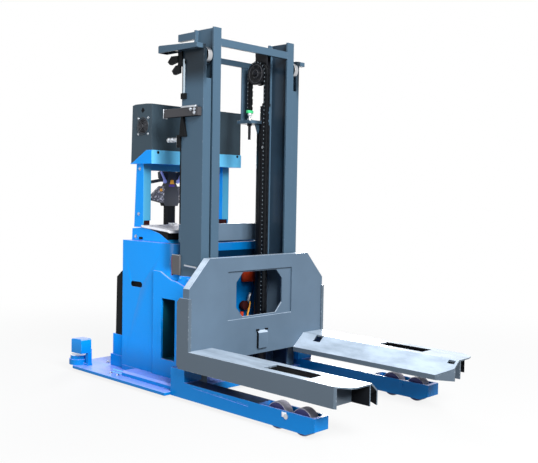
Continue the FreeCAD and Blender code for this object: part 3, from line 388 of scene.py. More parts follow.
# The body's top is darker near its front.
BODY_FRONT_DARKER = ([("X", -0.43, -0.37), ("Z", 0.870, 0.884), ("Z", 0.900, 0.893)], 0.22)
AZURE_DARKER_ZONES = (LOW_PAINTED_SHADE, BESIDE_MAST_PAINTED_SHADE, BEHIND_CARRIAGE_PAINTED_SHADE, BETWEEN_MASTS_DARK_BAND)
AZURE_DARKER_TOPS = (LEG_TOP_PAINTED_SHADOW, BODY_FRONT_DARKER)
print("darker zones:", len(AZURE_DARKER_ZONES) + len(AZURE_DARKER_TOPS) + 1)

# %% [markdown]
# ## The finishes by name
# The CAD model names a finish for each of its nodes, and those names come first. The second list
# holds finishes that only a few faces or small pieces have, such as zinc and red lead, and the
# copies of paint that are painted shade and painted light.

# %% Finishes of the CAD model
# Pale edges: rubbed paint, with a painted highlight.
PALE_EDGE = (0.70, 0.80, 0.90)
# Pale streaks on tops: dust and scuffs, with a painted sheen.
PALE_DUST_AND_SHEEN = (0.46, 0.55, 0.66)


def named(finishes):
    """Give each material the name of its finish."""
    for name, material in finishes.items():
        material.name = name
    return finishes


FINISH = named({
    "azure_paint": paint(
        # Its pale blue edges are rubbed paint with a painted highlight.
        (0.002, 0.290, 0.860), rough=0.36, wear_and_highlight=0.35, bare_and_highlight=(0.45, 0.68, 0.95), coat=0.45,
        # Its lavender film on what faces up is a painted sheen.
        dust_and_sheen=0.55, dust_and_sheen_colour=(0.50, 0.43, 0.95), darker_zones=AZURE_DARKER_ZONES, darker_tops=AZURE_DARKER_TOPS),
    # The mast's pale edges are rubbed paint with a painted highlight.
    "mast_paint": paint((0.050, 0.093, 0.138), rough=0.40, wear_and_highlight=0.25, bare_and_highlight=(0.42, 0.50, 0.60),
                        # The mast's paint carries the top beam's painted shadow.
                        coat=0.5, darker_zones=(BEAM_PAINTED_SHADOW,)),
    # The pale streaks on the carriage's and the forks' tops are dust and scuffs, with a painted
    # highlight.
    "carriage_paint": paint((0.086, 0.130, 0.182), rough=0.36, drift=0.20, bare_and_highlight=PALE_EDGE,
                            coat=0.5, dust_and_sheen=0.95, dust_and_sheen_colour=PALE_DUST_AND_SHEEN),
    "fork_paint": paint((0.082, 0.110, 0.140), rough=0.34, wear_and_highlight=0.35, bare_and_highlight=PALE_EDGE,
                        coat=0.6, dust_and_sheen=0.92, dust_and_sheen_colour=PALE_DUST_AND_SHEEN),
    "cabinet_paint": paint((0.038, 0.062, 0.082), rough=0.46, wear_and_highlight=0.15, coat=0.3),
    "black_plastic": moulded((0.006, 0.007, 0.008), sheen=0.06),
    "grey_plastic": moulded((0.050, 0.053, 0.060)),
    "pale_plastic": moulded((0.42, 0.42, 0.45), rough=0.42, grain=0.05),
    "black_steel": paint((0.008, 0.009, 0.012), rough=0.34, peel=0.03, coat=0.3),
    "bare_steel": metal((0.50, 0.51, 0.53), rough=0.34, brushed=0.05),
    # The rod's chrome gets a near-black colour: a painted reflection of its dark surroundings.
    "rod_chrome": metal((0.020, 0.023, 0.028), rough=0.22, drift=0.02),
    "chain_steel": metal((0.014, 0.016, 0.019), rough=0.40),
    "cast_grey": paint((0.05, 0.05, 0.055), rough=0.55, peel=0.12),
    "tread": moulded((0.50, 0.49, 0.58), rough=0.55, grain=0.05, scale=300.0),
    "dark_tread": moulded((0.025, 0.025, 0.027), rough=0.7),
    "foot_rubber": moulded((0.026, 0.003, 0.003), rough=0.75),
})
print("finishes of the CAD model:", len(FINISH))

# %% Finishes of small pieces and of single faces
EXTRA = named({
    # Dark primer, also used as painted shade inside the forks and for the cabinet's dark opening
    # and vent.
    "dark_primer_and_shade": paint((0.004, 0.005, 0.007), rough=0.7, coat=0.0),
    # A darker paint: painted shade on the channels' inward faces.
    "channel_shade": paint((0.022, 0.042, 0.066), rough=0.42, coat=0.6, drift=0.16),
    # Painted shade in the niche behind the mast's window.
    "niche_shade": paint((0.003, 0.060, 0.095), rough=0.6, coat=0.0),
    "shaded_azure": paint((0.002, 0.175, 0.420), rough=0.40, coat=0.3),
    "hub_violet": paint((0.050, 0.052, 0.16), rough=0.35, coat=0.6),
    "plate_grey": paint((0.095, 0.095, 0.100), rough=0.45, coat=0.1),
    "dull_steel": moulded((0.24, 0.29, 0.33), rough=0.40, grain=0.03),
    # A darker teal azure: painted shade on the posts' forward faces.
    "post_front": paint((0.070, 0.330, 0.540), rough=0.40, coat=0.3),
    # A paler azure: painted light on the tray's forward faces and on the weld beads.
    "tray_front": paint((0.150, 0.580, 0.940), rough=0.40, coat=0.3),
    "zinc": metal((0.46, 0.49, 0.53), rough=0.30),
    "pale_zinc": moulded((0.80, 0.82, 0.86), rough=0.35, grain=0.02),
    "red_lead": paint((0.34, 0.030, 0.008), rough=0.5, coat=0.1),
    "orange_grip": moulded((0.95, 0.42, 0.05), rough=0.45),
    "violet_band": moulded((0.10, 0.06, 0.34), rough=0.45),
    "green_clip": moulded((0.06, 0.50, 0.20), rough=0.5),
    "speckled": flecked((0.10, 0.10, 0.115), (0.50, 0.50, 0.54), scale=70.0, share=0.62),
    "lid_top": flecked((0.46, 0.46, 0.50), (0.16, 0.15, 0.17), scale=38.0, share=0.60),
    "lever_violet": moulded((0.36, 0.40, 0.80), rough=0.40, grain=0.04),
})
slots = {row["node"]: row["material_slot"] for row in frame["record"]["subparts"]}
print("finishes beside those:", len(EXTRA))

# %% [markdown]
# ## Breaking the edges
# No real sheet has a knife edge: even a thin paint rounds it, and that round catches the light.
# A copy of each CAD solid is merged, its flat faces are joined, and a Bevel modifier rounds
# every corner sharper than thirty degrees. Hardened normals keep the flat faces flat.


# %% Helpers for the edges
MERGE_GAP = 0.00002
FLAT_WITHIN = math.radians(0.6)
SHARP = math.radians(30)


def only(*pieces):
    """Select these pieces alone; the first is the active one."""
    bpy.ops.object.select_all(action="DESELECT")
    for piece in pieces:
        piece.select_set(True)
    bpy.context.view_layer.objects.active = pieces[0]


def bevelled(piece, width, sharp, harden=False):
    """Round every corner of the active piece that is sharper than an angle."""
    bevel = piece.modifiers.new("edges", "BEVEL")
    bevel.width = width
    bevel.segments = 2
    bevel.limit_method = "ANGLE"
    bevel.angle_limit = sharp
    bevel.harden_normals = harden
    bpy.ops.object.modifier_apply(modifier=bevel.name)


def dressed(piece, finish):
    """Give a piece one finish, and its slot where the CAD model has that finish too."""
    piece.data.materials.clear()
    piece.data.materials.append(EXTRA.get(finish) or FINISH[finish])


def softened(node, width):
    """A bevelled copy of a CAD node, which it then stands for."""
    piece = placed(node + "_finished", nodes[node].data.copy())
    only(piece)
    bpy.ops.object.mode_set(mode="EDIT")
    bpy.ops.mesh.select_all(action="SELECT")
    bpy.ops.mesh.remove_doubles(threshold=MERGE_GAP)
    bpy.ops.mesh.dissolve_limited(angle_limit=FLAT_WITHIN)
    bpy.ops.object.mode_set(mode="OBJECT")
    bpy.ops.object.shade_smooth_by_angle(angle=SHARP)
    bevelled(piece, width, SHARP, harden=True)
    dressed(piece, slots[node])
    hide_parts(node)
    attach(piece, body_of_node[node])
    return piece


# %% Softened copies
bodies = frame["record"]["behaviour"]["bodies"]
body_of_node = {node: body for body, members in bodies.items() for node in members}

# The width of the round, and the nodes that get it: cast tyres most, thin sheet and pins least.
SOFT_EDGES = {
    0.0040: ["drive_wheel", "castor_wheel_right", "castor_wheel_left", "load_wheel_right_a",
             "load_wheel_right_b", "load_wheel_left_a", "load_wheel_left_b"],
    0.0030: ["base_plate", "leg_right", "leg_left", "cabinet", "carriage_flap", "mast_brackets"],
    0.0022: ["chassis_frame", "body_shell", "hood", "rear_cover", "battery_box", "fork_right",
             "fork_left", "outer_cross_members", "mast_foot_beam", "top_side_beams", "mast_clamps",
             "mast_supports", "posts", "scanners", "carriage_frame", "drive_fork"],
    0.0015: ["outer_channel_right", "outer_channel_left", "inner_channel_right",
             "inner_channel_left", "inner_top_bar", "inner_cross_members", "outer_top_frame",
             "carriage_plate", "carriage_rim", "window_plate", "tiller_head", "limit_switches",
             "mast_conduit", "hood_lid", "hood_fittings", "post_feet", "tiller_arm",
             "tiller_base", "carriage_rollers"],
    0.0010: ["tray", "lift_rod", "lift_barrel", "outer_rollers", "bogies", "castor_fork_right",
             "castor_fork_left", "chain_pulley"],
}
finished = {node: softened(node, width)
            for width, members in SOFT_EDGES.items() for node in members}
for node, part in nodes.items():
    part.data.materials.clear()
    part.data.materials.append(FINISH[slots[node]])
print("softened nodes:", len(finished))

# %% [markdown]
# ## Second finishes on one sheet
# A sheet is often one colour outside and bare primer inside, and a switch holds a bright tube in a
# black body. The dark paint inside the forks and the niche beside the mast is painted shade,
# and lighter or darker copies of a paint on faces that look forward are painted light and
# shade. Such a change follows the face, so the faces are picked by where they are and which
# way they look, and get a second material slot. No extra mesh is needed for it.


# %% Tinting faces
FACING = 0.7  # a face looks along an axis when its normal reaches this far along it


def tint(node, finish, test):
    """Give a second finish to the faces of a finished node that pass a test."""
    piece = finished[node]
    piece.data.materials.append(EXTRA.get(finish) or FINISH[finish])
    chosen = [face for face in piece.data.polygons if test(face.center, face.normal)]
    for face in chosen:
        face.material_index = len(piece.data.materials) - 1
    return len(chosen)


def between(value, limits):
    return limits[0] < value < limits[1]


def looks_forward(centre, normal):
    return normal.x > FACING


# %% Inside the forks and the recesses of the body
FORK_CORE_Y, FORK_CORE_Z = 0.49, 0.24  # the middle of a fork's hollow section
FORK_HOLLOW_FROM, FORK_HOLLOW_TOP = 0.055, 0.3035
INWARD = 0.002
WINDOW_X, WINDOW_Z = (-0.380, -0.2415), (0.176, 0.557)  # the window beside the mast
GRIP_X, GRIP_Z = (-0.735, -0.565), (0.575, 0.650)
RECESS_FLOOR = 0.30
body_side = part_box("body_shell")[1].y - 0.0006


def in_fork_hollow(centre, normal):
    side = math.copysign(FORK_CORE_Y, centre.y)
    inward = normal.y * (side - centre.y) + normal.z * (FORK_CORE_Z - centre.z)
    return centre.x > FORK_HOLLOW_FROM and centre.z < FORK_HOLLOW_TOP and inward > INWARD


def behind(x, z):
    """A test for faces of a recess in the body's side that has the given limits."""
    recess = (RECESS_FLOOR, body_side)
    return lambda c, n: between(c.x, x) and between(c.z, z) and between(abs(c.y), recess)


# The forks' hollow gets the dark paint as painted shade.
for node in ("fork_right", "fork_left"):
    print(node, "inner faces:", tint(node, "dark_primer_and_shade", in_fork_hollow))
# The niche beside the mast's window gets painted shade.
print("niche faces:", tint("body_shell", "niche_shade", behind(WINDOW_X, WINDOW_Z)))
print("grip faces:", tint("body_shell", "dark_primer_and_shade", behind(GRIP_X, GRIP_Z)))

# %% Hood, tray and posts
LID_RIM, LID_FLAT = 0.7, 0.9  # how far up the rim and the flat of the lid look
HOOD_SLOPE = 0.3
RING_PROUD = 0.006
lid_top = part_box("hood_lid")[1].z
tint("hood_lid", "pale_zinc", lambda c, n: n.z < LID_RIM)
tint("hood_lid", "lid_top", lambda c, n: n.z > LID_FLAT)
tint("hood_fittings", "pale_zinc", lambda c, n: c.z > lid_top - RING_PROUD)
# Forward faces get lit and shaded copies of a paint: painted light on the tray and on the outer
# cross members, painted shade on the posts; the hood's forward slope takes the shaded azure.
tint("hood", "shaded_azure", lambda c, n: n.x > HOOD_SLOPE)
tint("posts", "post_front", looks_forward)
tint("tray", "tray_front", looks_forward)
tint("outer_cross_members", "carriage_paint", looks_forward)
print("top of the hood's lid:", round(lid_top, 3))

# %% Wheels, bogies and scanners
TYRE_THICK = 0.010
BOGIE_INNER = 0.50
SCANNER_BAND, SCANNER_FRONT = (0.099, 0.112), -1.07
FLAP_TOP, FLAP_SIDE = 0.3645, -0.4
wheels = [name for name in finished if name.startswith("load_wheel")]
for wheel in wheels:
    low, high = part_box(wheel)
    hub_x, hub_z = (low.x + high.x) / 2, (low.z + high.z) / 2
    hub_r = (high.z - low.z) / 2 - TYRE_THICK
    tint(wheel, "hub_violet", lambda c, n: math.hypot(c.x - hub_x, c.z - hub_z) < hub_r)
tint("bogies", "azure_paint", lambda c, n: abs(c.y) < BOGIE_INNER)
tint("scanners", "pale_zinc", lambda c, n: between(c.z, SCANNER_BAND) and c.x < SCANNER_FRONT)
tint("carriage_flap", "dark_primer_and_shade", lambda c, n: n.y < FLAP_SIDE or c.z > FLAP_TOP)
tint("outer_rollers", "dark_primer_and_shade", lambda c, n: abs(n.y) > FACING)
print("load wheels:", len(wheels))

# %% Mast
SWITCH_TUBE_X, SWITCH_TUBE_Z = (-0.217, -0.201), (1.791, 1.960)
FITTING_BACK, FITTING_Z = -0.248, (1.500, 1.535)
FEET_TOP = 1.0  # the brackets are above this height, and the foot plates below
ANCHOR_X, ANCHOR_Y, ANCHOR_R = -0.164, 0.086, 0.02
ANCHOR_NUT_LOW, ANCHOR_ROD_HIGH = 1.668, 1.644
PULLEY_ARM_TOP = 2.060
TURNED_IN = -0.2  # the faces of a channel that look to the middle of the mast
WEB_Y = {"inner": 0.300, "outer": 0.375}


def by_anchor(centre):
    return math.hypot(centre.x - ANCHOR_X, centre.y - ANCHOR_Y) < ANCHOR_R


tint("limit_switches", "dull_steel",
     lambda c, n: between(c.x, SWITCH_TUBE_X) and between(c.z, SWITCH_TUBE_Z))
tint("mast_conduit", "zinc", lambda c, n: c.x < FITTING_BACK and between(c.z, FITTING_Z))
tint("mast_brackets", "cast_grey", lambda c, n: c.z > FEET_TOP)
tint("mast_brackets", "plate_grey", lambda c, n: c.z < FEET_TOP)
tint("mast_brackets", "dark_primer_and_shade", lambda c, n: n.z < -0.5 and c.z > FEET_TOP)
tint("mast_brackets", "zinc", lambda c, n: n.x < -0.6 and c.z > FEET_TOP)
tint("outer_top_frame", "zinc", lambda c, n: by_anchor(c) and c.z > ANCHOR_NUT_LOW)
tint("outer_top_frame", "black_steel", lambda c, n: by_anchor(c) and c.z < ANCHOR_ROD_HIGH)
tint("inner_top_bar", "black_steel", lambda c, n: c.z < PULLEY_ARM_TOP)
# The channels' inward faces get painted shade.
for hand in ("right", "left"):
    for stage, web_y in WEB_Y.items():
        shaded_faces = tint(f"{stage}_channel_{hand}", "channel_shade",
                      lambda c, n: n.y * c.y < TURNED_IN and abs(c.y) > web_y)
        print(stage, hand, "greased faces:", shaded_faces)

# %% Control head
WING_Y, WING_ROOT_Y, WING_TOP = 0.060, 0.040, 1.25
LOOKS_DOWN = -0.3
PANEL_FRONT, PANEL_HALF, PANEL_FACING = -0.8315, 0.03, 0.5
tint("tiller_head", "speckled",
     lambda c, n: abs(c.y) > WING_Y and c.z < WING_TOP and n.z > LOOKS_DOWN)
tint("tiller_head", "black_plastic",
     lambda c, n: abs(c.y) > WING_ROOT_Y and c.z < WING_TOP and n.z < LOOKS_DOWN)
panel_faces = tint("tiller_head", "orange_grip",
                   lambda c, n: c.x > PANEL_FRONT and n.x > PANEL_FACING and abs(c.y) < PANEL_HALF)
print("faces of the head's panel:", panel_faces)

# %% [markdown]
# ## Small pieces
# The remaining pieces are modelled from primitives, with a helper each for a block, a disc, a
# ring and a bar. Each one applies its place to the mesh, so the object itself stays at the
# origin, and rounds its edges where asked, because a small part catches light there first.


# %% Helpers for primitives
TURN = {"X": (0, math.pi / 2, 0), "Y": (math.pi / 2, 0, 0), "Z": (0, 0, 0)}
SMALL_SHARP = math.radians(35)


def settle(piece, name, width=0.0):
    """Apply the place of a new primitive to its mesh, name it and round its edges."""
    piece.name = piece.data.name = name
    only(piece)
    bpy.ops.object.transform_apply(location=True, rotation=True, scale=True)
    if width:
        bevelled(piece, width, SMALL_SHARP)
    bpy.ops.object.shade_smooth_by_angle(angle=SMALL_SHARP)
    return piece


def block(name, x, y, z, width=0.001, turn=(0, 0, 0)):
    """A block between two limits on each axis, turned about its middle, with rounded edges."""
    middle = [(low + high) / 2 for low, high in (x, y, z)]
    size = [abs(high - low) for low, high in (x, y, z)]
    bpy.ops.mesh.primitive_cube_add(size=1, location=middle, rotation=turn, scale=size)
    return settle(bpy.context.object, name, width)


def disc(name, middle, axis, radius, thick, sides, width=0.001):
    """A round or many-sided disc about an axis."""
    bpy.ops.mesh.primitive_cylinder_add(
        vertices=sides, radius=radius, depth=thick, location=middle, rotation=TURN[axis])
    return settle(bpy.context.object, name, width)


def ring(name, middle, axis, radius, thin, around=40):
    """A round wire bent to a circle about an axis."""
    bpy.ops.mesh.primitive_torus_add(
        major_radius=radius, minor_radius=thin, major_segments=around, minor_segments=8,
        location=middle, rotation=TURN[axis])
    return settle(bpy.context.object, name)


def tube(name, start, end, radius, sides=16, width=0.0):
    """A straight round bar between two points."""
    start, end = Vector(start), Vector(end)
    bpy.ops.mesh.primitive_cylinder_add(vertices=sides, radius=radius, depth=(end - start).length)
    piece = bpy.context.object
    lie = (end - start).to_track_quat("Z", "Y").to_matrix().to_4x4()
    piece.data.transform(Matrix.Translation((start + end) / 2) @ lie)
    return settle(piece, name, width)


# %% Helpers for copies and finishes
def joined(name, pieces):
    """Several meshes as one piece."""
    only(*pieces)
    if len(pieces) > 1:
        bpy.ops.object.join()
    piece = bpy.context.object
    piece.name = piece.data.name = name
    return piece


def copied(model, places, name):
    """A copy of a model at each place, each with its own mesh, joined as one piece."""
    copies = []
    for place in places:
        mesh = model.data.copy()
        mesh.transform(place)
        copies.append(placed(name, mesh))
    bpy.data.objects.remove(model)
    return joined(name, copies)


def fitted(piece, finish, body="chassis"):
    """Give a piece its finish and let it move with a body."""
    dressed(piece, finish)
    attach(piece, body)
    return piece


# %% [markdown]
# ## The lift chain
# A mast is lifted by a leaf chain: packs of flat leaves on pins, with no rollers. Two kinds of
# link take turns, a wide one and a narrow one. Each is modelled once, one pitch long, and then
# laid along the two straight runs and around the pulley. The leaves have a waist, which is what
# makes a chain read as a chain from the side, and the pin ends are paler: rubbed bright, with
# a painted glint.

# %% One outer and one inner link
PITCH = 0.0254
PLATE_R, PLATE_THICK = 0.0088, 0.0032
CORE_SMALLER = 0.0006
PIN_R = 0.0036
WAIST = 0.74  # width of a leaf's waist as a share of its ends
LINK_SIDES = 12


def link_plate(name, side, radius, thick):
    """A waisted plate around two holes, one pitch apart along Z."""
    ends = [disc(name, (0, side, height), "Y", radius, thick, sides=LINK_SIDES, width=0)
            for height in (-PITCH / 2, PITCH / 2)]
    plate = joined(name, ends)
    bpy.ops.object.mode_set(mode="EDIT")
    bpy.ops.mesh.select_all(action="SELECT")
    bpy.ops.mesh.convex_hull()
    bpy.ops.mesh.select_all(action="SELECT")
    bpy.ops.mesh.bisect(plane_co=(0, 0, 0), plane_no=(0, 0, 1))
    bpy.ops.transform.resize(value=(WAIST, 1, 1), center_override=(0, side, 0))
    bpy.ops.object.mode_set(mode="OBJECT")
    return plate


def link(name, reach, pin_half, core_half):
    """Two outer plates on two pins, with a pack of leaves between them."""
    plates = [link_plate(f"{name}_plate", side, PLATE_R, PLATE_THICK) for side in (-reach, reach)]
    core = link_plate(f"{name}_core", 0.0, PLATE_R - CORE_SMALLER, 2 * core_half)
    pins = [disc(f"{name}_pin", (0, 0, height), "Y", PIN_R, 2 * pin_half, LINK_SIDES, width=0)
            for height in (-PITCH / 2, PITCH / 2)]
    whole = joined(name, [*plates, core, *pins])
    bpy.ops.object.shade_smooth_by_angle(angle=math.radians(40))
    return whole


outer_link = link("outer_link", reach=0.0168, pin_half=0.0198, core_half=0.0085)
inner_link = link("inner_link", reach=0.0128, pin_half=0.0110, core_half=0.0088)
print("faces of a link:", len(outer_link.data.polygons), len(inner_link.data.polygons))

# %% Where the chain runs
pulley_low, pulley_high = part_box("chain_pulley")
pulley_x = (pulley_low.x + pulley_high.x) / 2
pulley_z = (pulley_low.z + pulley_high.z) / 2
front_low, front_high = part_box("chain_front")
rear_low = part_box("chain_rear")[0]
chain_y = (front_low.y + front_high.y) / 2
chain_r = (front_low.x + front_high.x) / 2 - pulley_x
front_x, rear_x = pulley_x + chain_r, pulley_x - chain_r
WRAP_PITCHES = 9
PIN_END = 0.0190  # faces further out than this are the ends of the pins
print("radius of the chain on the pulley:", round(chain_r, 4))


def run_places(x, bottom):
    """Middles of the links of a straight run, from the pulley's height down."""
    count = round((pulley_z - bottom) / PITCH)
    return [Matrix.Translation((x, chain_y, pulley_z - (k + 0.5) * PITCH)) for k in range(count)]


def wrap_place(k):
    """The middle of link k on the upper half of the pulley, as a chord of its circle."""
    angle = math.pi * (k + 0.5) / WRAP_PITCHES
    middle = Matrix.Translation((pulley_x, chain_y, pulley_z))
    return middle @ Matrix.Rotation(-angle, 4, "Y") @ Matrix.Translation(
        (chain_r * math.cos(math.pi / WRAP_PITCHES / 2), 0, 0))


def laid(name, places, first, second):
    """Links at the places, the two kinds in turn."""
    rows = [copied(placed(kind.name, kind.data.copy()), places[start::2], name)
            for start, kind in enumerate((first, second))]
    whole = joined(name, rows)
    whole.data.materials.append(FINISH["chain_steel"])
    # Pin ends take a paler grey: rubbed steel, and a painted glint.
    whole.data.materials.append(EXTRA["dull_steel"])
    for face in whole.data.polygons:
        if abs(face.center.y - chain_y) > PIN_END:
            face.material_index = 1
    return whole


# %% The runs and the wrap
front_run = laid("chain_links_front", run_places(front_x, front_low.z), outer_link, inner_link)
rear_run = laid("chain_links_rear", run_places(rear_x, rear_low.z), outer_link, inner_link)
wrap_places = [wrap_place(k) for k in range(WRAP_PITCHES)]
wrap = laid("chain_links_wrap", wrap_places, inner_link, outer_link)
for model in (outer_link, inner_link):
    bpy.data.objects.remove(model)
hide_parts("chain_front")
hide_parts("chain_rear")
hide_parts("chain_wrap")
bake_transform(front_run)
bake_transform(rear_run)
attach(wrap, "inner_mast")
print("chain faces:", [len(p.data.polygons) for p in (front_run, rear_run, wrap)])

# %% [markdown]
# ## Chain end and pulley
# The rear run ends in a green clip over a nut, which sets the chain's tension. The pulley's
# face has a raised rim, a hub and six lightening holes. Rings and shallow dark discs show them
# well enough at this distance, the discs as painted shade in the holes, so nothing has to be
# cut out of the wheel.

# %% Chain end and pulley face
CLIP_X, CLIP_Y, CLIP_BELOW, CLIP_ABOVE = 0.011, 0.024, 0.002, 0.018
RIM_R, HUB_R = 0.056, 0.024
HOLES, HOLE_CIRCLE = 6, 0.045
end_z = rear_low.z
clip = block("chain_end_clip", x=(rear_x - CLIP_X, rear_x + CLIP_X),
             y=(chain_y - CLIP_Y, chain_y + CLIP_Y), z=(end_z - CLIP_BELOW, end_z + CLIP_ABOVE),
             width=0.004)
fitted(clip, "green_clip")
end_nut = disc("chain_end_nut", (rear_x, chain_y, end_z - 0.008), "Z",
               radius=0.014, thick=0.012, sides=6)
fitted(end_nut, "zinc")
face_y = pulley_low.y
rings = [ring("pulley_ring", (pulley_x, face_y + 0.0035, pulley_z), "Y", RIM_R, thin=0.0022),
         ring("pulley_hub_ring", (pulley_x, face_y - 0.0002, pulley_z), "Y", HUB_R, thin=0.0024)]
fitted(joined("pulley_rings", rings), "grey_plastic", "pulley")
# Dark discs: painted shade where the holes would show their dark inside.
hole_model = disc("pulley_hole", (0, 0, 0), "Y", radius=0.0075, thick=0.0016, sides=20,
                  width=0.0004)
hole_places = [Matrix.Translation((pulley_x + HOLE_CIRCLE * math.cos(a), face_y + 0.0036,
                                   pulley_z + HOLE_CIRCLE * math.sin(a)))
               for a in (math.tau / HOLES * k for k in range(HOLES))]
fitted(copied(hole_model, hole_places, "pulley_holes"), "dark_tread", "pulley")
axle_nut = disc("pulley_axle_nut", (pulley_x, face_y - 0.009, pulley_z), "Y",
                radius=0.011, thick=0.008, sides=6)
fitted(axle_nut, "black_steel", "inner_mast")
print("pulley holes:", HOLES)

# %% [markdown]
# ## Bolts
# One hexagon bolt with its washer serves everywhere. It is modelled standing on the origin, and
# each copy is turned to the face that it holds. The bright ones are zinc plated.


# %% Helpers for bolts
WASHER_SHARE = 0.24  # of a bolt's height
WASHER_WIDE = 1.35  # against the radius of the head
UP, FORWARD, BACKWARD, NEAR = (0, 0, 1), (1, 0, 0), (-1, 0, 0), (0, -1, 0)


def bolt(radius, tall):
    """A hexagon head on a washer, standing on the origin along Z."""
    washer_tall = tall * WASHER_SHARE
    head = disc("bolt_head", (0, 0, (tall + washer_tall) / 2), "Z", radius, tall - washer_tall,
                sides=6, width=radius * 0.1)
    washer = disc("bolt_washer", (0, 0, washer_tall / 2), "Z", radius * WASHER_WIDE, washer_tall,
                  sides=20, width=0)
    return joined("bolt_model", [head, washer])


def standing(point, normal):
    """A place on a surface, with Z along its normal."""
    return Matrix.Translation(point) @ Vector(normal).to_track_quat("Z", "Y").to_matrix().to_4x4()


def bolts(name, points, normal, radius=0.008, tall=0.007, finish="zinc"):
    """One bolt at each point of a face of the chassis, as one piece."""
    return fitted(copied(bolt(radius, tall), [standing(p, normal) for p in points], name), finish)


def corners_of(box, inset):
    """The four corners of a box's rear face, moved in by a margin."""
    low, high = box
    return [(low.x, y, z) for y in (low.y + inset, high.y - inset)
            for z in (low.z + inset, high.z - inset)]


# %% Bolts on the chassis and the mast
BASE_BOLTS = [(-1.036, -0.370), (-0.751, -0.543), (-0.6745, -0.545)]  # x and y
POST_BOLTS = [(-0.700, 1.060), (-0.692, 1.350)]  # x and z, as the next ones
CLAMP_BOLTS = [(-0.212, 0.686), (-0.143, 0.688), (-0.212, 0.612), (-0.143, 0.612)]
BRACKET_BOLTS = [(-0.085, 1.688), (-0.085, 1.668), (-0.118, 1.690)]
TRAY_BOLTS = [(-0.338, 1.452), (0.352, 1.456)]  # y and z
plate_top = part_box("base_plate")[1].z
post_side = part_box("posts")[1].y
clamp_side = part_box("mast_clamps")[1].y
bracket_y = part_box("mast_brackets")[0].y
tray_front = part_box("tray")[1].x
bolts("base_bolts", [(x, side * y, plate_top) for side in (1, -1) for x, y in BASE_BOLTS], UP,
      radius=0.009, tall=0.010)
for hand, side in (("near", -1), ("far", 1)):
    bolts(f"post_bolts_{hand}", [(x, side * post_side, z) for x, z in POST_BOLTS], (0, side, 0))
    bolts(f"clamp_bolts_{hand}", [(x, side * clamp_side, z) for x, z in CLAMP_BOLTS],
          (0, side, 0), finish="azure_paint")
bolts("tray_bolts", [(tray_front, y, z) for y, z in TRAY_BOLTS], FORWARD,
      radius=0.007, tall=0.005, finish="black_steel")
bolts("bracket_bolts", [(x, bracket_y, z) for x, z in BRACKET_BOLTS], NEAR)
print("bolts on a clamp:", len(CLAMP_BOLTS))

# %% Bolts on the covers
COVER_INSET, CABINET_INSET = 0.045, 0.022
rear_cover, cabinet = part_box("rear_cover"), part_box("cabinet")
cover_corners = corners_of(rear_cover, COVER_INSET)
cabinet_corners = corners_of(cabinet, CABINET_INSET)
bolts("rear_cover_bolts", cover_corners, BACKWARD, radius=0.009, tall=0.006)
bolts("cabinet_back_bolts", cabinet_corners, BACKWARD, radius=0.006, tall=0.004)
print("bolts at the back:", len(cover_corners) + len(cabinet_corners))

# %% [markdown]
# ## Details on the mast
# The near face of the mast carries a clamp bar, the edge and a red shim of its foot plate, a
# guide rod on two feet, and three nuts on the conduit's fitting. They are blocks, bars and
# six-sided discs, which is what such plain steel parts are before they are machined. The foot
# plate's edge is a thin zinc strip that stands as a painted highlight.

# %% Bar, plates and shim
fitted(block("bracket_bar", x=(-0.205, -0.070), y=(bracket_y - 0.004, bracket_y + 0.014),
             z=(1.700, 1.712), width=0.003), "zinc")
fitted(block("bracket_end_plate", x=(-0.3725, -0.3685), y=(bracket_y - 0.002, bracket_y + 0.030),
             z=(1.646, 1.704)), "zinc")
# A zinc strip on the foot plate's top edge, as a painted highlight.
fitted(block("foot_plate_edge_highlight", x=(-0.295, -0.224), y=(-0.4262, -0.4125), z=(0.8245, 0.8280)),
       "zinc")
fitted(block("foot_plate_shim", x=(-0.3000, -0.2955), y=(-0.4235, -0.4130), z=(0.700, 0.815)),
       "red_lead")
print("near face of the brackets:", round(bracket_y, 4))

# %% Guide rod, nuts and bleed screw
ROD_BACK, ROD_FRONT = (-0.176, 0.7695), (-0.063, 0.7625)  # x and z of its two ends
ROD_FEET, ROD_FEET_Z = (-0.150, -0.090), 0.767
NUTS_X, NUTS_Z = (-0.352, -0.318, -0.276), 1.517
SCREW_OUT, SCREW_Z = 0.0415, 1.497
mast_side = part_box("outer_channel_right")[0].y
rod_y = mast_side - 0.013
guide_rod = [tube("guide_rod_bar", (ROD_BACK[0], rod_y, ROD_BACK[1]),
                  (ROD_FRONT[0], rod_y, ROD_FRONT[1]), radius=0.006)]
guide_rod += [tube("guide_rod_foot", (x, rod_y, ROD_FEET_Z), (x, mast_side, ROD_FEET_Z),
                   radius=0.004) for x in ROD_FEET]
fitted(joined("guide_rod", guide_rod), "zinc")
nut_model = disc("fitting_nut", (0, 0, 0), "X", radius=0.0165, thick=0.016, sides=6, width=0.0015)
nut_places = [Matrix.Translation((x, mast_side + 0.004, NUTS_Z)) for x in NUTS_X]
fitted(copied(nut_model, nut_places, "fitting_nuts"), "zinc")
barrel_low, barrel_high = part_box("lift_barrel")
barrel_x, barrel_y = (barrel_low.x + barrel_high.x) / 2, (barrel_low.y + barrel_high.y) / 2
outward = Vector((0.72, -0.69, 0))
screw = Vector((barrel_x, barrel_y, SCREW_Z)) + SCREW_OUT * outward
bolts("bleed_screw", [screw], outward, tall=0.012)
print("nuts on the fitting:", len(NUTS_X))

# %% [markdown]
# ## Pipes behind the window
# Through the window of the carriage a few red and orange hydraulic pieces show: a valve block
# with its knob, three rigid pipes and an elbow. Straight bars are enough, since only a short
# length of each pipe shows. They are fixed to the chassis.

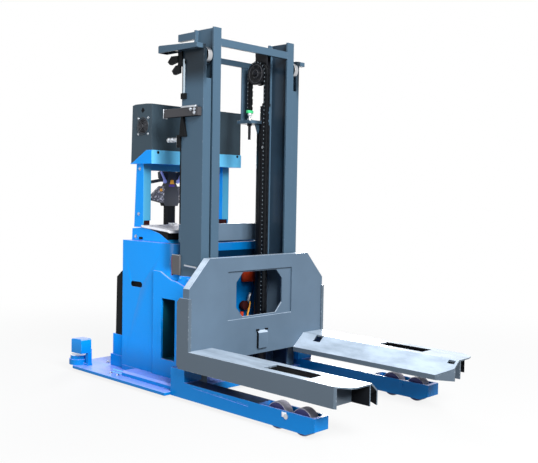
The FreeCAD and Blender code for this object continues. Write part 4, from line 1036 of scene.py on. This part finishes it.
# %% Hydraulic pieces
PIPES_X = -0.206
fitted(block("valve_block", x=(-0.236, -0.204), y=(0.098, 0.232), z=(0.628, 0.705), width=0.012),
       "red_lead")
red_pipes = [
    tube("red_pipe_low", (-0.205, 0.078, 0.320), (-0.205, 0.084, 0.440),
         radius=0.012, sides=20, width=0.003),
    tube("red_pipe_high", (-0.212, 0.222, 0.540), (-0.212, 0.205, 0.640),
         radius=0.010, sides=20, width=0.003)]
fitted(joined("red_pipes", red_pipes), "red_lead")
fitted(tube("orange_pipe", (PIPES_X, 0.120, 0.340), (PIPES_X, 0.160, 0.500),
            radius=0.006, sides=20, width=0.002), "orange_grip")
fitted(disc("valve_knob", (-0.212, 0.112, 0.478), "X", radius=0.030, thick=0.034, sides=24,
            width=0.006), "foot_rubber")
fitted(tube("pipe_elbow", (PIPES_X, 0.140, 0.500), (PIPES_X, 0.158, 0.556),
            radius=0.012, sides=6, width=0.002), "zinc")
print("rigid pipes:", len(red_pipes) + 1)

# %% [markdown]
# ## The cabinet's fan
# A wire guard is concentric rings on two crossed wires, held by four screws, in front of a dark
# opening, which is a dark disc of painted shade. The rings are tori, which is how the welded
# wire is really shaped.

# %% Fan guard
FAN_X, FAN_Z = -0.644, 1.619
RING_RADII = (0.054, 0.043, 0.032, 0.021)
WIRE_REACH, WIRE_SLANT = 0.055, 0.707
SCREW_REACH = 0.050
fan = Vector((FAN_X, cabinet[0].y, FAN_Z))
# A dark disc: painted shade in the fan's opening.
fitted(disc("fan_opening", fan + Vector((0, 0.0015, 0)), "Y", radius=0.047, thick=0.004, sides=48),
       "dark_primer_and_shade")
wires = [ring("fan_ring", fan + Vector((0, -0.0025, 0)), "Y", radius, thin=0.0020, around=48)
         for radius in RING_RADII]
for slant in (WIRE_SLANT, -WIRE_SLANT):
    reach = Vector((WIRE_REACH * WIRE_SLANT, 0, WIRE_REACH * slant))
    middle = fan + Vector((0, -0.001, 0))
    wires.append(tube("fan_wire", middle - reach, middle + reach, radius=0.0018, sides=8))
hub = disc("fan_hub", fan + Vector((0, -0.002, 0)), "Y", radius=0.011, thick=0.005, sides=24)
wires.append(hub)
fitted(joined("fan_guard_wires", wires), "grey_plastic")
screws = [fan + Vector((x, 0.004, z)) for x in (-SCREW_REACH, SCREW_REACH)
          for z in (-SCREW_REACH, SCREW_REACH)]
bolts("fan_screws", screws, NEAR, radius=0.006, tall=0.006)
# A dark plate: painted shade in the diamond vent's hole.
vent = block("cabinet_vent", x=(-0.663, -0.637), y=(fan.y + 0.003, fan.y + 0.0055),
             z=(1.706, 1.732), turn=(0, math.pi / 4, 0))
fitted(vent, "dark_primer_and_shade")
print("wires and rings of the guard:", len(RING_RADII) + 2)

# %% [markdown]
# ## Louvres and seams
# Sheet covers breathe through pressed louvres. One louvre is a thin block whose outer edge is
# pulled down, and a row of copies makes the vent. A weld leaves a low, rounded bead.


# %% Louvres
LOUVRE_DEEP, LOUVRE_HALF = 0.004, 0.007
REAR_LOUVRES, REAR_STEP, REAR_MARGIN = 6, 0.030, 0.10
CABINET_LOUVRES, CABINET_STEP, CABINET_MARGIN = 5, 0.024, 0.08
CABINET_VENT_Y = 0.18


def louvre(name, long):
    """A pressed louvre that looks along -X, centred on the origin."""
    piece = block(name, x=(-LOUVRE_DEEP, 0.0), y=(-long / 2, long / 2),
                  z=(-LOUVRE_HALF, LOUVRE_HALF), width=0)
    bpy.ops.object.mode_set(mode="EDIT")
    mesh = bmesh.from_edit_mesh(piece.data)
    for vertex in mesh.verts:
        vertex.select_set(vertex.co.x < -0.003 and vertex.co.z > 0)
    mesh.select_flush_mode()
    bmesh.update_edit_mesh(piece.data)
    bpy.ops.transform.translate(value=(0.0035, 0, -0.003))
    bpy.ops.object.mode_set(mode="OBJECT")
    return settle(piece, name, 0.001)


def column(x, y, top, step, count):
    """Places one under the other, from the top down."""
    return [Matrix.Translation((x, y, top - k * step)) for k in range(count)]


rear_rows = column(rear_cover[0].x, 0, rear_cover[1].z - REAR_MARGIN, REAR_STEP, REAR_LOUVRES)
fitted(copied(louvre("rear_louvre", 0.30), rear_rows, "rear_louvres"), "black_steel")
cabinet_rows = column(cabinet[0].x, CABINET_VENT_Y, cabinet[1].z - CABINET_MARGIN,
                      CABINET_STEP, CABINET_LOUVRES)
fitted(copied(louvre("cabinet_louvre", 0.16), cabinet_rows, "cabinet_louvres"),
       "cabinet_paint")
print("louvres:", len(rear_rows), len(cabinet_rows))

# %% Weld beads
BEAD_Z = plate_top + 0.0005


def bead_pair(rear, front, radius):
    """A weld along the base plate on each hand, between two points given as x and y."""
    return [tube("bead", (rear[0], side * rear[1], BEAD_Z), (front[0], side * front[1], BEAD_Z),
                 radius, sides=8) for side in (-1, 1)]


beads = bead_pair((-0.836, 0.4665), (-0.178, 0.4495), radius=0.0035)
beads += bead_pair((-0.785, 0.5065), (-0.230, 0.4980), radius=0.0028)
# The beads take the tray's paler front azure: a painted highlight along them.
fitted(joined("weld_beads", beads), "tray_front")
print("beads:", len(beads))

# %% [markdown]
# ## Hood latch, pin keepers and control head
# A latch and a hinge hold the hood's lid, and a keeper stops each bogie pin in its leg. The
# control head has two levers with their roots, two buttons and a band. All are blocks, discs and
# bars with a wide round, because they are moulded or much handled.

# %% Latch, hinge and keepers
KEEPER_X, KEEPER_Z = (0.757, 0.787), (0.080, 0.1055)
KEEPER_PROUD = 0.0030
hood_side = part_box("hood")[0].y
fitted(block("hood_latch", x=(-0.675, -0.640), y=(hood_side - 0.006, hood_side),
             z=(0.898, 0.914), width=0.002), "black_plastic")
bolts("hood_hinge", [(-0.7126, hood_side, 0.914)], NEAR, radius=0.009, tall=0.008)
leg_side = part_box("leg_left")[1].y
keepers = [block("pin_keeper", x=KEEPER_X, z=KEEPER_Z, width=0.0015,
                 y=(side * leg_side - KEEPER_PROUD, side * leg_side + KEEPER_PROUD))
           for side in (-1, 1)]
fitted(joined("pin_keepers", keepers), "pale_zinc")
print("pin keepers:", len(keepers))

# %% Levers, buttons and band
HEAD_X = -0.832
levers = [tube("lever", (HEAD_X, side * 0.092, 1.342), (HEAD_X, side * 0.058, 1.280),
               radius=0.0085, width=0.003) for side in (-1, 1)]
levers += [disc("lever_root", (-0.836, side * 0.056, 1.276), "X", radius=0.014, thick=0.014,
                sides=20, width=0.003) for side in (-1, 1)]
fitted(joined("head_levers", levers), "lever_violet", "tiller")
buttons = [disc("head_button", (-0.834, side * 0.090, 1.216), "X", radius=0.011, thick=0.012,
                sides=20, width=0.003) for side in (-1, 1)]
fitted(joined("head_buttons", buttons), "orange_grip", "tiller")
fitted(block("head_band", x=(-0.834, -0.8295), y=(-0.024, 0.024), z=(1.240, 1.254)),
       "violet_band", "tiller")
print("levers and buttons:", len(levers) // 2, len(buttons))
